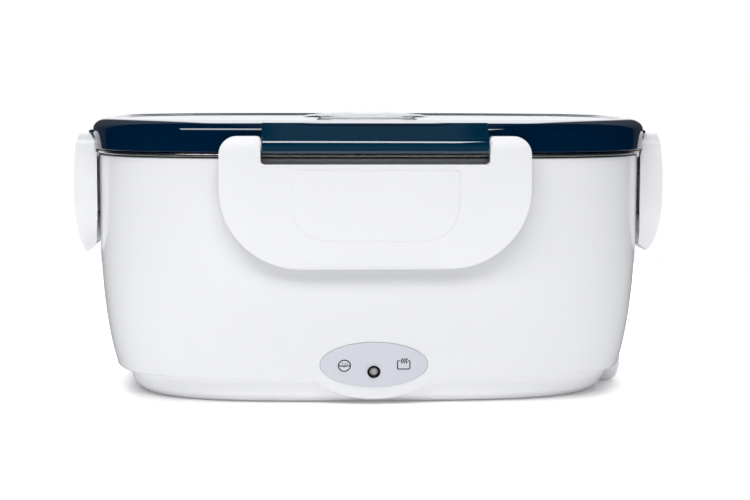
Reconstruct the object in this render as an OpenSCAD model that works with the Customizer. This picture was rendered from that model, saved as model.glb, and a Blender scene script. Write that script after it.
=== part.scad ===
// Electric lunch box: a tapered case with a heating base, a lift-out steel tray,
// a side box with its own lid, and a lid held down by four hinged snap latches.
// Millimetres. +Z is up, the front panel faces -Y and the power inlet faces +X.
// The origin is on the table, under the middle of the case.

/* [Case] */
// Length of the case at its rim, end to end
case_len = 216.8; // [200:0.2:240]
// Depth of the case at its rim, front to back
case_dep = 156.8; // [146:0.2:180]
// Height of the case rim above the table
rim_z = 94.4; // [90:0.2:110]
// Squareness of every plan outline: 2 is an ellipse, larger is squarer
plan_power = 3.5; // [3:0.1:4.5]
// Thickness of the case wall
wall = 2.4; // [1.8:0.1:3]
// How far the wall draws in between the rim and the lower edge
taper = 7.9; // [5:0.1:10]
// How late the wall draws in: 1 is a straight wall, larger keeps it upright for longer
taper_bow = 2.65; // [2:0.05:3.2]
// Height of the case's lower edge above the table
step_z = 10; // [9:0.5:12]
// Roundness of the lower edge
edge_r = 1; // [0.5:0.1:1.5]
// Width of the ledge that closes the case's lower edge
ledge_w = 18; // [15:0.5:20]
// Thickness of that ledge
ledge_t = 2.4; // [1.8:0.1:3]
// Width of the rim left standing outside the liner's flange
rim_lip = 1; // [0.8:0.1:1.4]

/* [Base] */
// How far the base band stands in from the case's lower edge
band_in = 5.4; // [4:0.1:7]
// How much further in the band's bottom edge is
band_draw = 2.8; // [1:0.1:4]
// Height of the base cover's underside above the table
base_z = 2.5; // [1.5:0.1:4]
// Thickness of the base cover
base_t = 2; // [1.6:0.1:2.4]
// Diameter of the rubber feet
foot_d = 13; // [9:0.5:16]
// Depth of the pockets that hold the feet
foot_sink = 0.8; // [0.5:0.1:1]
// Distance of the feet from the case rim outline, measured at the corners
foot_inset = 38; // [34:1:42]
// Distance of the screws from the case rim outline, measured at the corners
screw_inset = 22; // [21:0.5:24]
// Diameter of the base screws
screw_d = 3; // [2.5:0.1:3.5]
// Diameter of a screw head
screw_head_d = 5.4; // [5:0.1:6]
// Height of the screw posts above the case's lower edge
post_h = 10; // [8:0.5:12]
// Thickness of the base boss under a screw head
boss_seat = 3.5; // [3:0.1:4.5]

/* [Front panel] */
// Height of the middle of the oval panel above the table
panel_z = 16.6; // [15.5:0.1:18]
// Width of the oval panel
panel_w = 40.9; // [36:0.1:44]
// Height of the oval panel
panel_h = 16.8; // [14:0.1:18.5]
// Thickness of the oval panel
panel_t = 0.8; // [0.5:0.1:1]
// Width of the boss behind the panel
boss_w = 46.8; // [46:0.1:52]
// Height of the boss behind the panel
boss_h = 22.6; // [21:0.1:24]
// Distance of the middle of the boss below the middle of the panel
boss_drop = 2.4; // [1.5:0.1:3]
// How far the boss stands out of the case wall at the panel
boss_out = 0.1; // [0.1:0.1:0.6]
// Length of the boss behind its face
boss_len = 9; // [8:0.5:10]
// Thickness of the boss wall
boss_wall = 2.4; // [1.8:0.1:3]
// Distance of the lamp below the middle of the panel
lamp_drop = 3.2; // [2.5:0.1:3.5]
// Diameter of the lamp's lens
lamp_d = 3.2; // [3:0.1:3.6]
// Diameter of the black ring round the lamp
bezel_d = 4.9; // [4.7:0.1:5.6]

/* [Power inlet] */
// Width of the inlet cavity
inlet_w = 26; // [23:0.5:30]
// Height of the inlet cavity
inlet_h = 13; // [11:0.5:14]
// Depth of the inlet cavity
inlet_deep = 15; // [13:0.5:17]
// Thickness of the inlet's wall
inlet_wall = 1.8; // [1.4:0.1:2.2]
// Height of the middle of the inlet above the table
inlet_z = 14.8; // [14:0.1:16]
// Diameter of the inlet pins
pin_d = 4; // [3:0.1:4.8]
// Distance between the pins
pin_gap = 10; // [8:0.5:12]
// Length of the pins inside the cavity
pin_len = 8.5; // [7:0.5:10]

/* [Tray] */
// Height of the underside of the steel tray above the table
tray_z = 33.4; // [32.4:0.2:38]
// Thickness of the tray's steel
tray_t = 0.6; // [0.5:0.05:0.8]
// Distance of the tray wall from the case rim outline, at the top
tray_in = 7.4; // [7:0.1:9]
// Distance of the tray wall from the case rim outline, above the bottom curve
tray_foot_in = 12; // [10.5:0.1:14]
// Height of the bottom curve
tray_curve = 14; // [12:0.5:18]
// Height of the rolled rim
roll_h = 1.6; // [1.4:0.1:2]
// How far the rolled rim stands out past the case rim
roll_out = 0.5; // [0.3:0.1:0.6]
// Air gap between the tray and the liner
liner_gap = 1.2; // [0.8:0.1:1.6]
// Thickness of the liner
liner_t = 1.4; // [1.2:0.1:1.8]

/* [Side box] */
// Length of the side box along the case, at its rim
box_len = 54; // [44:1:58]
// Depth of the side box across the case, at its rim
box_dep = 100; // [80:1:106]
// Distance of the side box from the middle of the case
box_x = 58; // [52:1:60]
// Height of the side box
box_h = 51; // [40:1:54]
// Thickness of the side box wall
box_t = 1.5; // [1.2:0.1:2]
// How far the side box draws in toward its bottom
box_draw = 3; // [2:0.5:4]

/* [Lid] */
// How far the lid's wall stands out past the case rim
lid_out = 1.4; // [1.2:0.1:2]
// Gap between the rolled rim and the lid's lower edge
lid_gap = 0.5; // [0.4:0.1:0.8]
// Height of the lid's upright wall
lid_wall_h = 7.8; // [7:0.1:9]
// Width of the curve between the wall and the crest
lid_curve_w = 10; // [8:0.5:12]
// Height of that curve
lid_curve_h = 6.2; // [5:0.1:7]
// Depth of the recess inside the crest
lid_sink = 1.3; // [0.8:0.1:1.8]
// Thickness of the lid
lid_t = 2.2; // [1.8:0.1:2.6]
// Height of the groove that holds the seal
groove_h = 2.1; // [1.9:0.1:2.4]

/* [Steam vent] */
// Diameter of the vent's clear seat plate
vent_seat_d = 40; // [34:0.5:44]
// Thickness of the seat plate
vent_seat_t = 1; // [0.8:0.1:1.2]
// Diameter of the dome of the vent cap
vent_dome_d = 30; // [24:0.5:32]
// Height of the dome above the seat plate
vent_dome_h = 1.7; // [1.3:0.1:2.4]
// Diameter of the hole in the lid
vent_hole_d = 10; // [9:0.1:12]
// Diameter of the cap's stem
vent_stem_d = 5.8; // [5:0.1:6.4]
// Radius of the raised crescent behind the vent
crescent_r = 26; // [24:0.5:29]
// Height of the crescent above the recess
crescent_h = 1.7; // [1:0.1:2]

/* [Latches] */
// Width of the front and rear latches
latch_w = 118; // [106:0.5:124]
// Opening between the ears of the front and rear latches
latch_gap = 87.4; // [76:0.1:92]
// Width of the end latches
end_latch_w = 76; // [70:0.5:84]
// Opening between the ears of the end latches
end_latch_gap = 50; // [46:0.5:56]
// Distance of the hinge axis outside the case rim
axis_out = 5.3; // [5.2:0.1:6]
// Height of the hinge axis above the rim
axis_up = 5.2; // [5:0.1:5.8]
// Radius of the ears round the axis
ear_r = 2.9; // [2.6:0.1:3.1]
// Radius of the lid's hinge barrels
barrel_r = 3.2; // [2.9:0.1:3.4]
// Radius of the stub pins in the ears
stub_r = 1.6; // [1.3:0.05:1.8]
// Length of the stub pins
stub_len = 4; // [3:0.5:6]
// Length of a latch below its axis
latch_drop = 46.2; // [40:0.2:52]
// Distance of the flap's upper edge below the axis
flap_top = 7.1; // [6.5:0.1:8]
// How far the flap bulges out past the axis
latch_bulge = 3.6; // [3.3:0.1:4.2]
// Radius of the bulge, seen from the end
bulge_r = 176; // [150:1:240]
// Thickness of the flap
flap_t = 2.2; // [1.8:0.1:2.6]
// Radius of the flap's lower corners
flap_r = 30; // [20:0.5:34]
// Radius of the ears' upper corners
ear_corner_r = 7; // [4:0.5:8]
// Clearance between the closed latch and the case rim
latch_clear = 0.9; // [0.8:0.1:1.2]
// Height of the catch ribs below the case rim
catch_drop = 24; // [20:0.5:28]

/* [Heater] */
// Length of the heating plate
plate_len = 110; // [96:1:124]
// Depth of the heating plate
plate_dep = 70; // [66:1:76]
// Thickness of the plate's flange
plate_t = 1.5; // [1.2:0.1:1.7]
// Width of the flange that rests on the liner
plate_flange = 6; // [4:0.5:8]
// Length of the heating element
ptc_len = 60; // [50:1:66]
// Depth of the heating element
ptc_dep = 20; // [16:1:22]
// Thickness of the heating element
ptc_t = 6; // [5:0.1:6.5]
// Diameter of the thermostat
thermostat_d = 14; // [12:0.5:15]
// Diameter of the thermal fuse
fuse_d = 4; // [3.2:0.1:4.4]
// Radius of the insulated wires
wire_r = 1.1; // [0.8:0.05:1.2]

/* [Fits] */
// Gap between pieces that rest on each other but come apart
seat = 0.1; // [0.05:0.05:0.3]
// Gap round pieces that slide into place
slip = 0.3; // [0.2:0.05:0.4]
// Radial clearance of pins and screws in their holes
pin_clear = 0.05; // [0.03:0.01:0.1]

/* [Hidden] */

// Half sizes of the case rim, from which every plan outline is inset
half_len = case_len / 2;
half_dep = case_dep / 2;
// Facets round a plan outline that shows, and round one that is hidden
fine = 80;
coarse = 64;
// A cut passes this far beyond the faces it opens
over = 1;

// Stack of heights
flange_z = rim_z - liner_t;
roll_z = rim_z + seat;
tray_top_z = roll_z + roll_h;
lid_z = tray_top_z + lid_gap;
lid_curve_z = lid_z + lid_wall_h;
crest_z = lid_curve_z + lid_curve_h;
recess_z = crest_z - lid_sink;
ceiling_z = recess_z - lid_t;
axis_z = rim_z + axis_up;

// Insets from the rim outline
ledge_in = taper + ledge_w;
band_top_in = taper + band_in;
band_low_in = band_top_in + band_draw;
seal_in = 1.6;
plug_in = tray_in + 1;
crest_in = lid_curve_w - lid_out;
crest_w = 0.8;

// Liner and heater
liner_drop = 1.8;
liner_floor_z = tray_z - liner_drop;
plate_boss_z = liner_floor_z - liner_t - 1;
strap_t = 0.8;

// Front boss: it leans with the case wall at the panel's height
panel_tilt = atan(taper * taper_bow / (rim_z - step_z)
    * pow((rim_z - panel_z) / (rim_z - step_z), taper_bow - 1));
panel_y = -(half_dep - wall_inset(panel_z));
bezel_barrel_d = bezel_d - 0.8;
board_z = -6.4;

// Inlet: its mouth is level with the case wall at the inlet's top
inlet_x = half_len - wall_inset(inlet_z + inlet_h / 2) - 1;
inlet_back = 3;

// How far the wall is drawn in at height z
function wall_inset(z) = taper * pow((rim_z - z) / (rim_z - step_z), taper_bow);

// Points of one plan outline with half sizes a and b, at height z
function outline(a, b, z, count) = [
    for (i = [0 : count - 1])
        let (t = 360 * i / count)
        [
            a * sign(cos(t)) * pow(abs(cos(t)), 2 / plan_power),
            b * sign(sin(t)) * pow(abs(sin(t)), 2 / plan_power),
            z
        ]
];

// The point of a plan outline on its corner diagonal
function corner(inset) = [
    (half_len - inset) * pow(cos(45), 2 / plan_power),
    (half_dep - inset) * pow(cos(45), 2 / plan_power)
];

// Points of a circular arc
function arc(x, y, r, from, to, steps) = [
    for (k = [0 : steps])
        let (t = from + (to - from) * k / steps)
        [x + r * cos(t), y + r * sin(t)]
];

// Points of an ellipse
function ellipse(w, h) = [
    for (i = [0 : 47])
        [w / 2 * cos(7.5 * i), h / 2 * sin(7.5 * i)]
];

function unit(v) = v / norm(v);

// Skin over a stack of plan outlines, each given as [inset, height]. A closed loop of
// outlines makes a ring, an open stack gets a flat cap at its first and last outline.
module skin(levels, a = half_len, b = half_dep, count = fine, ring = false) {
    n = len(levels);
    points = [for (level = levels) each outline(a - level[0], b - level[0], level[1], count)];
    sides = [
        for (k = [0 : ring ? n - 1 : n - 2], i = [0 : count - 1])
            let (j = (i + 1) % count, low = k * count, high = ((k + 1) % n) * count)
            each [[low + i, high + i, high + j], [low + i, high + j, low + j]]
    ];
    first_cap = [for (i = [0 : count - 1]) i];
    last_cap = [for (i = [count - 1 : -1 : 0]) (n - 1) * count + i];
    polyhedron(points, ring ? sides : concat(sides, [first_cap, last_cap]), convexity = 8);
}

// Round tube swept along a list of points
module wire(route) {
    n = len(route);
    count = 8;
    points = [
        for (k = [0 : n - 1])
            let (
                ahead = unit(route[min(k + 1, n - 1)] - route[max(k - 1, 0)]),
                across = unit(cross(ahead, [0.1, 0.2, 1])),
                upward = cross(across, ahead)
            )
            for (i = [0 : count - 1])
                route[k] + wire_r * (cos(45 * i) * across + sin(45 * i) * upward)
    ];
    sides = [
        for (k = [0 : n - 2], i = [0 : count - 1])
            let (j = (i + 1) % count, near = k * count, far = (k + 1) * count)
            each [[near + i, far + j, far + i], [near + i, near + j, far + j]]
    ];
    first_cap = [for (i = [count - 1 : -1 : 0]) i];
    last_cap = [for (i = [0 : count - 1]) (n - 1) * count + i];
    polyhedron(points, concat(sides, [first_cap, last_cap]), convexity = 6);
}

module rounded_rect(w, d, r) {
    square([w - 2 * r, d], center = true);
    square([w, d - 2 * r], center = true);
    for (x = [-1, 1], y = [-1, 1])
        translate([x * (w / 2 - r), y * (d / 2 - r)])
            circle(r, $fn = 32);
}

// Upright cylinder from one height to another
module post(d, low, high, fn = 32) {
    translate([0, 0, low])
        cylinder(d = d, h = high - low, $fn = fn);
}

// Places a shape at the four corners of a plan outline
module at_corners(inset) {
    at = corner(inset);
    for (x = [-1, 1], y = [-1, 1])
        translate([x * at[0], y * at[1], 0])
            children();
}

// Frame on the front boss: +Z points out of the panel and +Y up along it
module on_panel() {
    translate([0, panel_y, panel_z])
        rotate([90 + panel_tilt, 0, 0])
            children();
}

// Extrudes an end view along X: its first axis points out of the front, its second up
module along_x(length) {
    rotate([90, 0, -90])
        linear_extrude(height = length, center = true)
            children();
}

// Extrudes a front view along Y, from y = -reach to y = reach
module along_y(reach) {
    rotate([90, 0, 0])
        linear_extrude(height = 2 * reach, center = true)
            children();
}

// Places a piece drawn for the front on one side of the case: 0 front, 1 right, 2 rear, 3 left
module on_side(side) {
    reach = side % 2 == 0 ? half_dep : half_len;
    rotate([0, 0, 90 * side])
        translate([0, -(reach + axis_out), axis_z])
            children();
}

// ---------------------------------------------------------------- case

module catch_rib(length, side) {
    reach = side % 2 == 0 ? half_dep : half_len;
    rib_z = rim_z - catch_drop;
    rotate([0, 0, 90 * side])
        translate([0, -reach, rib_z])
            along_x(length)
                polygon([[-wall / 2, -2.6], [0.2, -1.6], [0.6, 0], [0.6, 0.8], [-wall / 2, 2.4]]);
}

module outer_shell() {
    steps = [0.03, 0.1, 0.2, 0.32, 0.46, 0.64, 0.84];
    z_at = [for (s = steps) step_z + s * (rim_z - step_z)];
    last = len(steps) - 1;
    ledge_top = step_z + ledge_t;
    levels = concat(
        [[wall_inset(step_z) + edge_r, step_z]],
        [for (z = z_at) [wall_inset(z), z]],
        [[0, rim_z], [rim_lip, rim_z], [rim_lip, flange_z], [wall, flange_z]],
        [for (k = [last : -1 : 1]) [wall_inset(z_at[k]) + wall, z_at[k]]],
        [
            [wall_inset(ledge_top) + wall, ledge_top],
            [ledge_in, ledge_top],
            [ledge_in, step_z]
        ]
    );
    color("whitesmoke")
        difference() {
            union() {
                skin(levels, ring = true);
                at_corners(screw_inset)
                    post(screw_d + 5, step_z, step_z + post_h);
                on_panel()
                    translate([0, -boss_drop, -boss_len])
                        linear_extrude(height = boss_len + boss_out)
                            polygon(ellipse(boss_w, boss_h));
                inlet_hood();
                for (side = [0, 2])
                    catch_rib(latch_gap - 20, side);
                for (side = [1, 3])
                    catch_rib(end_latch_gap - 12, side);
            }
            at_corners(screw_inset)
                post(screw_d + 2 * pin_clear, step_z - over, step_z + post_h - 1.5);
            on_panel() {
                translate([0, -boss_drop, -boss_len - 8])
                    linear_extrude(height = boss_len + 8 - boss_wall)
                        polygon(ellipse(boss_w - 2 * boss_wall, boss_h - 2 * boss_wall));
                translate([0, 0, boss_out - panel_t])
                    linear_extrude(height = panel_t + over)
                        polygon(ellipse(panel_w + slip, panel_h + slip));
                translate([0, -lamp_drop, 0])
                    post(bezel_barrel_d + 2 * pin_clear, -boss_len, over);
            }
            inlet_room();
        }
}

// Hood over the inlet, down from the case wall past the base band. It covers the socket's mouth
module inlet_hood() {
    hood_w = inlet_w + 2 * inlet_wall + 5;
    low = base_z + 0.3;
    top = inlet_z + inlet_h / 2 + inlet_wall + 2.5;
    back = 12;
    lean = 0.7;
    rotate([0, 0, 90])
        translate([0, -inlet_x - 1, 0])
            along_x(hood_w)
                polygon([[-back, low], [-lean - 0.6, low], [-lean, low + 1], [0, top], [-back, top]]);
}

// Room that the inlet socket takes
module inlet_room() {
    w = inlet_w + 2 * inlet_wall + slip;
    h = inlet_h + 2 * inlet_wall + slip;
    translate([inlet_x - inlet_deep - inlet_back - slip, 0, inlet_z])
        rotate([0, 90, 0])
            linear_extrude(height = inlet_deep + inlet_back + 8)
                rounded_rect(h, w, 3);
}

// Outside of the tray below its rim, from the bottom up
tray_out = [
    [tray_foot_in + 14, tray_z],
    [tray_foot_in + 8.5, tray_z + 0.04 * tray_curve],
    [tray_foot_in + 4, tray_z + 0.22 * tray_curve],
    [tray_foot_in + 1.2, tray_z + 0.58 * tray_curve],
    [tray_foot_in, tray_z + tray_curve]
];

module inner_liner() {
    out = [for (p = tray_out) [p[0] - liner_gap - liner_t, p[1] - liner_drop - liner_t]];
    in = [for (k = [len(tray_out) - 1 : -1 : 0]) tray_out[k] - [liner_gap, liner_drop]];
    levels = concat(
        out,
        [
            [tray_in - liner_gap - liner_t, flange_z],
            [rim_lip + 0.1, flange_z],
            [rim_lip + 0.1, rim_z],
            [tray_in - liner_gap, rim_z]
        ],
        in
    );
    color("gainsboro")
        difference() {
            skin(levels, count = coarse);
            translate([0, 0, plate_boss_z - over])
                linear_extrude(height = liner_floor_z - plate_boss_z + 2 * over)
                    rounded_rect(
                        plate_len - 2 * plate_flange + 2 * slip,
                        plate_dep - 2 * plate_flange + 2 * slip,
                        8
                    );
        }
}

module base_cover() {
    head_z = step_z - boss_seat;
    inside_z = base_z + base_t;
    color("white")
        difference() {
            union() {
                skin(
                    [
                        [band_low_in + 2, base_z],
                        [band_low_in, base_z + 1.6],
                        [band_top_in, step_z],
                        [band_top_in + base_t, step_z],
                        [band_low_in + base_t, inside_z + 1],
                        [band_low_in + base_t + 1, inside_z]
                    ],
                    count = coarse
                );
                at_corners(screw_inset)
                    post(screw_head_d + 3.6, base_z + 0.5, step_z);
                at_corners(foot_inset)
                    post(foot_d + 4, base_z + 0.5, inside_z + 1);
            }
            at_corners(screw_inset) {
                post(screw_head_d + 2 * slip, base_z - over, head_z);
                post(screw_d + 2 * pin_clear, base_z, step_z + over);
            }
            at_corners(foot_inset)
                post(foot_d + 0.2, base_z - over, base_z + foot_sink);
            on_panel()
                translate([0, -boss_drop, -boss_len - 8])
                    linear_extrude(height = boss_len + 12)
                        polygon(ellipse(boss_w + 2 * slip, boss_h + 2 * slip));
            inlet_notch();
        }
}

// Notch in the base cover for the inlet and its hood
module inlet_notch() {
    w = inlet_w + 2 * inlet_wall + 5 + 2 * slip;
    back = inlet_x - 12 + 1 - slip;
    translate([back, -w / 2, base_z + 0.3 - slip])
        cube([30, w, step_z]);
    translate([inlet_x - inlet_deep - inlet_back - slip, -w / 2, inlet_z - inlet_h / 2 - inlet_wall - slip])
        cube([inlet_deep, w, step_z]);
}

module base_screws() {
    head_z = step_z - boss_seat;
    head_t = 2;
    color("silver")
        at_corners(screw_inset)
            difference() {
                union() {
                    post(screw_head_d, head_z - head_t, head_z);
                    post(screw_d, head_z, step_z + post_h - 2);
                }
                for (turn = [0, 90])
                    rotate([0, 0, turn])
                        translate([-screw_head_d / 3, -0.4, head_z - head_t - over])
                            cube([2 * screw_head_d / 3, 0.8, over + 1]);
            }
}

module rubber_feet() {
    r = foot_d / 2;
    top = base_z + foot_sink;
    color("dimgray")
        at_corners(foot_inset)
            rotate_extrude($fn = 40)
                polygon([[0, 0], [r - 1, 0], [r, 1], [r, top], [0, top]]);
}

// ---------------------------------------------------------------- heater

module heating_plate() {
    color("lightgray")
        difference() {
            union() {
                translate([0, 0, liner_floor_z])
                    linear_extrude(height = plate_t)
                        rounded_rect(plate_len, plate_dep, 12);
                translate([0, 0, plate_boss_z])
                    linear_extrude(height = liner_floor_z - plate_boss_z + plate_t / 2)
                        rounded_rect(plate_len - 2 * plate_flange, plate_dep - 2 * plate_flange, 7);
            }
            clamp_screw_holes(plate_boss_z - over, plate_boss_z + 2.6);
        }
}

clamp_x = ptc_len / 2 + 7;

module clamp_screw_holes(low, high) {
    for (x = [-1, 1])
        translate([x * clamp_x, 0, 0])
            post(screw_d + 2 * pin_clear, low, high);
}

tab_y = ptc_dep / 2 - 3;

module ptc_heater() {
    tab = 3;
    color("tan") {
        difference() {
            translate([-ptc_len / 2, -ptc_dep / 2, plate_boss_z - ptc_t])
                cube([ptc_len, ptc_dep, ptc_t]);
            for (y = [-1, 1])
                translate([0, y * ptc_dep / 2, plate_boss_z - ptc_t / 2])
                    cube([ptc_len + over, 1.6, 2.4], center = true);
        }
        for (x = [-1, 1])
            translate([x * (ptc_len + tab) / 2, -tab_y * x, plate_boss_z - ptc_t / 2])
                cube([tab, 4, 0.8], center = true);
    }
}

module heater_clamp() {
    low = plate_boss_z - ptc_t - strap_t;
    inner = ptc_len / 2 + 1.2;
    outer = clamp_x + 4;
    top = plate_boss_z;
    right = [[inner, top - ptc_t], [inner, top], [outer, top], [outer, top - strap_t],
        [inner + strap_t, top - strap_t], [inner + strap_t, low]];
    left = [for (k = [len(right) - 1 : -1 : 0]) [-right[k][0], right[k][1]]];
    color("silver")
        difference() {
            along_y(3.5)
                polygon(concat(right, left));
            clamp_screw_holes(top - strap_t - over, top + over);
        }
}

module heater_screws() {
    top = plate_boss_z - strap_t;
    color("silver")
        for (x = [-1, 1])
            translate([x * clamp_x, 0, 0])
                difference() {
                    union() {
                        post(screw_head_d, top - 1.8, top);
                        post(screw_d, top - 0.2, plate_boss_z + 2.4);
                    }
                    translate([-screw_head_d / 3, -0.4, top - 1.8 - over])
                        cube([2 * screw_head_d / 3, 0.8, over + 0.9]);
                }
}

thermostat_y = plate_dep / 2 - plate_flange - thermostat_d / 2 - 1;
fuse_y = -thermostat_y;
fuse_z = plate_boss_z - fuse_d / 2 - 0.2;

module thermostat() {
    top = plate_boss_z;
    color("black")
        translate([0, thermostat_y, 0]) {
            rotate_extrude($fn = 48)
                polygon([
                    [0, top], [thermostat_d / 2, top], [thermostat_d / 2, top - 3],
                    [thermostat_d / 2 - 1, top - 3], [thermostat_d / 2 - 1, top - 7], [0, top - 7]
                ]);
            for (x = [-1, 1])
                translate([x * 3.5, 0, top - 8.5])
                    cube([0.8, 4, 4], center = true);
        }
}

module thermal_fuse() {
    color("gold")
        translate([0, fuse_y, fuse_z])
            rotate([0, 90, 0])
                rotate_extrude($fn = 32)
                    polygon([
                        [0, -9], [0.8, -9], [0.8, -6], [fuse_d / 2, -5],
                        [fuse_d / 2, 5], [0.8, 6], [0.8, 9], [0, 9]
                    ]);
}

module fuse_clip() {
    r = fuse_d / 2 + 0.2;
    color("silver")
        translate([0, fuse_y, 0])
            along_x(5)
                polygon(concat(
                    [[r + 4, plate_boss_z], [r + 4, plate_boss_z - 0.6], [r + 0.6, plate_boss_z - 0.6]],
                    arc(0, fuse_z, r + 0.6, 0, -180, 12),
                    [[-r - 0.6, plate_boss_z], [-r, plate_boss_z]],
                    arc(0, fuse_z, r, -180, 0, 12),
                    [[r, plate_boss_z]]
                ));
}

// ---------------------------------------------------------------- wiring

tail_x = inlet_x - inlet_deep - inlet_back - 4;
blade_drop = 11.5;
blade_z = plate_boss_z - blade_drop;

module live_wire() {
    color("firebrick")
        wire([
            [tail_x, pin_gap / 2, inlet_z],
            [tail_x - 6, pin_gap / 2 + 1, inlet_z],
            [60, 12, 14],
            [46, 18, 13],
            [28, thermostat_y, 13],
            [12, thermostat_y, blade_z],
            [4.5, thermostat_y, blade_z]
        ]);
}

module neutral_wire() {
    tab_z = plate_boss_z - ptc_t / 2 - 3;
    color("royalblue")
        wire([
            [tail_x, -pin_gap / 2, inlet_z],
            [tail_x - 6, -pin_gap / 2 - 1, inlet_z],
            [60, -12, 13],
            [50, -15, 14],
            [40, -14, 18],
            [ptc_len / 2 + 3.5, -tab_y - 4, tab_z + 0.6],
            [ptc_len / 2 + 2, -tab_y, tab_z + 1]
        ]);
}

module fuse_wires() {
    tab_z = plate_boss_z - ptc_t / 2 - 2;
    color("firebrick") {
        wire([
            [-4.5, thermostat_y, blade_z],
            [-12, thermostat_y, blade_z - 1],
            [-24, 16, 13],
            [-26, 0, 12],
            [-24, -14, 13],
            [-18, fuse_y, fuse_z - 4],
            [-12, fuse_y, fuse_z - 1],
            [-9.2, fuse_y, fuse_z]
        ]);
        wire([
            [9.2, fuse_y, fuse_z],
            [12, fuse_y, fuse_z - 1],
            [16, fuse_y - 2, fuse_z - 5],
            [10, -28, 14],
            [-12, -28, 13],
            [-30, -20, 13],
            [-40, -4, 16],
            [-38, 6, tab_z - 2],
            [-ptc_len / 2 - 2, tab_y, tab_z]
        ]);
    }
}

module led_wires() {
    color("dimgray")
        for (side = [-1, 1])
            wire([
                [2.5 * side, panel_y + 8.55, panel_z - 1],
                [2.5 * side + 1, panel_y + 14, panel_z - 1],
                [24 - side, -44 - 2 * side, 15],
                [50 - side, -30 - 2 * side, 12],
                [66 - side, -18 - 2 * side, 12],
                [tail_x + 1, -12 - 2 * side, inlet_z]
            ]);
}

// ---------------------------------------------------------------- front panel

module control_panel() {
    color("lightsteelblue")
        on_panel()
            difference() {
                translate([0, 0, boss_out - panel_t])
                    linear_extrude(height = panel_t)
                        polygon(ellipse(panel_w, panel_h));
                translate([0, -lamp_drop, 0])
                    post(bezel_barrel_d + 2 * pin_clear, -over, over + boss_out);
            }
}

module led_bezel() {
    r = bezel_barrel_d / 2;
    bore = lamp_d / 2 + pin_clear;
    face = boss_out + 0.4;
    color("black")
        on_panel()
            translate([0, -lamp_drop, 0])
                rotate_extrude($fn = 40)
                    polygon([
                        [bore, -boss_wall - 0.6], [r, -boss_wall - 0.6], [r, boss_out],
                        [bezel_d / 2, boss_out], [bezel_d / 2, face - 0.2], [bezel_d / 2 - 0.3, face],
                        [bore, face]
                    ]);
}

module led_lamp() {
    r = lamp_d / 2;
    back = -boss_wall - 0.8;
    color("silver")
        on_panel()
            translate([0, -lamp_drop, 0]) {
                rotate_extrude($fn = 32)
                    polygon(concat(
                        [[0, back - 0.8], [r + 0.4, back - 0.8], [r + 0.4, back], [r, back]],
                        arc(0, boss_out - 0.6, r, 0, 90, 6)
                    ));
                for (x = [-1, 1])
                    translate([x * 0.8, 0, 0])
                        post(0.5, board_z, back - 0.7, 16);
            }
}

module led_board() {
    color("darkgreen")
        on_panel()
            difference() {
                translate([-8, -lamp_drop - 3, board_z - 1.2])
                    cube([16, 8, 1.2]);
                translate([5.5, -lamp_drop + 2.5, 0])
                    post(2, board_z - 2, board_z + over);
            }
}

// ---------------------------------------------------------------- power inlet

module inlet_socket() {
    w = inlet_w + 2 * inlet_wall;
    h = inlet_h + 2 * inlet_wall;
    color("dimgray")
        translate([inlet_x, 0, inlet_z])
            rotate([0, 90, 0])
                difference() {
                    translate([0, 0, -inlet_deep - inlet_back])
                        linear_extrude(height = inlet_deep + inlet_back)
                            rounded_rect(h, w, 3);
                    translate([0, 0, -inlet_deep])
                        linear_extrude(height = inlet_deep + over)
                            rounded_rect(inlet_h, inlet_w, 2);
                    for (y = [-1, 1])
                        translate([0, y * pin_gap / 2, 0])
                            post(pin_d - 0.8 + 2 * pin_clear, -inlet_deep - inlet_back - over, 0);
                }
}

module inlet_pins() {
    r = pin_d / 2;
    tip = -inlet_deep + pin_len;
    tail = -inlet_deep - inlet_back;
    color("silver")
        translate([inlet_x, 0, inlet_z])
            rotate([0, 90, 0])
                for (y = [-1, 1])
                    translate([0, y * pin_gap / 2, 0])
                        rotate_extrude($fn = 40)
                            polygon([
                                [0, tail - 3.6], [1, tail - 3.6], [1, tail], [r - 0.4, tail],
                                [r - 0.4, -inlet_deep], [r, -inlet_deep],
                                [r, tip - 1], [r - 0.8, tip], [0, tip]
                            ]);
}

// ---------------------------------------------------------------- tray and side box

module food_tray() {
    web_z = tray_top_z - tray_t;
    in = [for (k = [len(tray_out) - 1 : -1 : 0]) tray_out[k] + [tray_t, tray_t]];
    levels = concat(
        tray_out,
        [
            [tray_in, web_z - 0.6],
            [tray_in - 0.6, web_z],
            [1.2, web_z],
            [0.8, roll_z],
            [0, roll_z],
            [-roll_out, roll_z + roll_h / 3],
            [-roll_out, tray_top_z - roll_h / 4],
            [0, tray_top_z],
            [tray_in - 0.2, tray_top_z],
            [tray_in + tray_t, web_z - 0.4]
        ],
        in
    );
    color("lightgray")
        skin(levels, count = 72);
}

box_floor_z = tray_z + tray_t + slip;
box_rim_z = box_floor_z + box_h;

module side_box() {
    low = box_floor_z;
    t = box_t;
    color("white")
        translate([box_x, 0, 0])
            skin(
                [
                    [box_draw + 5, low],
                    [box_draw + 1.5, low + 1.5],
                    [box_draw, low + 5],
                    [1.2, box_rim_z - 5],
                    [0, box_rim_z - 4.4],
                    [0, box_rim_z],
                    [t + 0.4, box_rim_z],
                    [1.2 + t, box_rim_z - 5.4],
                    [box_draw + t, low + 5],
                    [box_draw + 1.5 + t, low + 1.5 + t],
                    [box_draw + 5, low + t]
                ],
                a = box_len / 2, b = box_dep / 2, count = 48
            );
}

module side_box_lid() {
    color("ghostwhite")
        translate([box_x, 0, 0])
            skin(
                [
                    [-slip, box_rim_z + seat],
                    [-slip, box_rim_z - 3.6],
                    [-slip - 1.4, box_rim_z - 3.6],
                    [-slip - 1.4, box_rim_z + 0.9],
                    [-slip - 0.4, box_rim_z + 1.9],
                    [3, box_rim_z + 1.9],
                    [4, box_rim_z + 1.3]
                ],
                a = box_len / 2, b = box_dep / 2, count = 48
            );
}

// ---------------------------------------------------------------- lid

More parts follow.
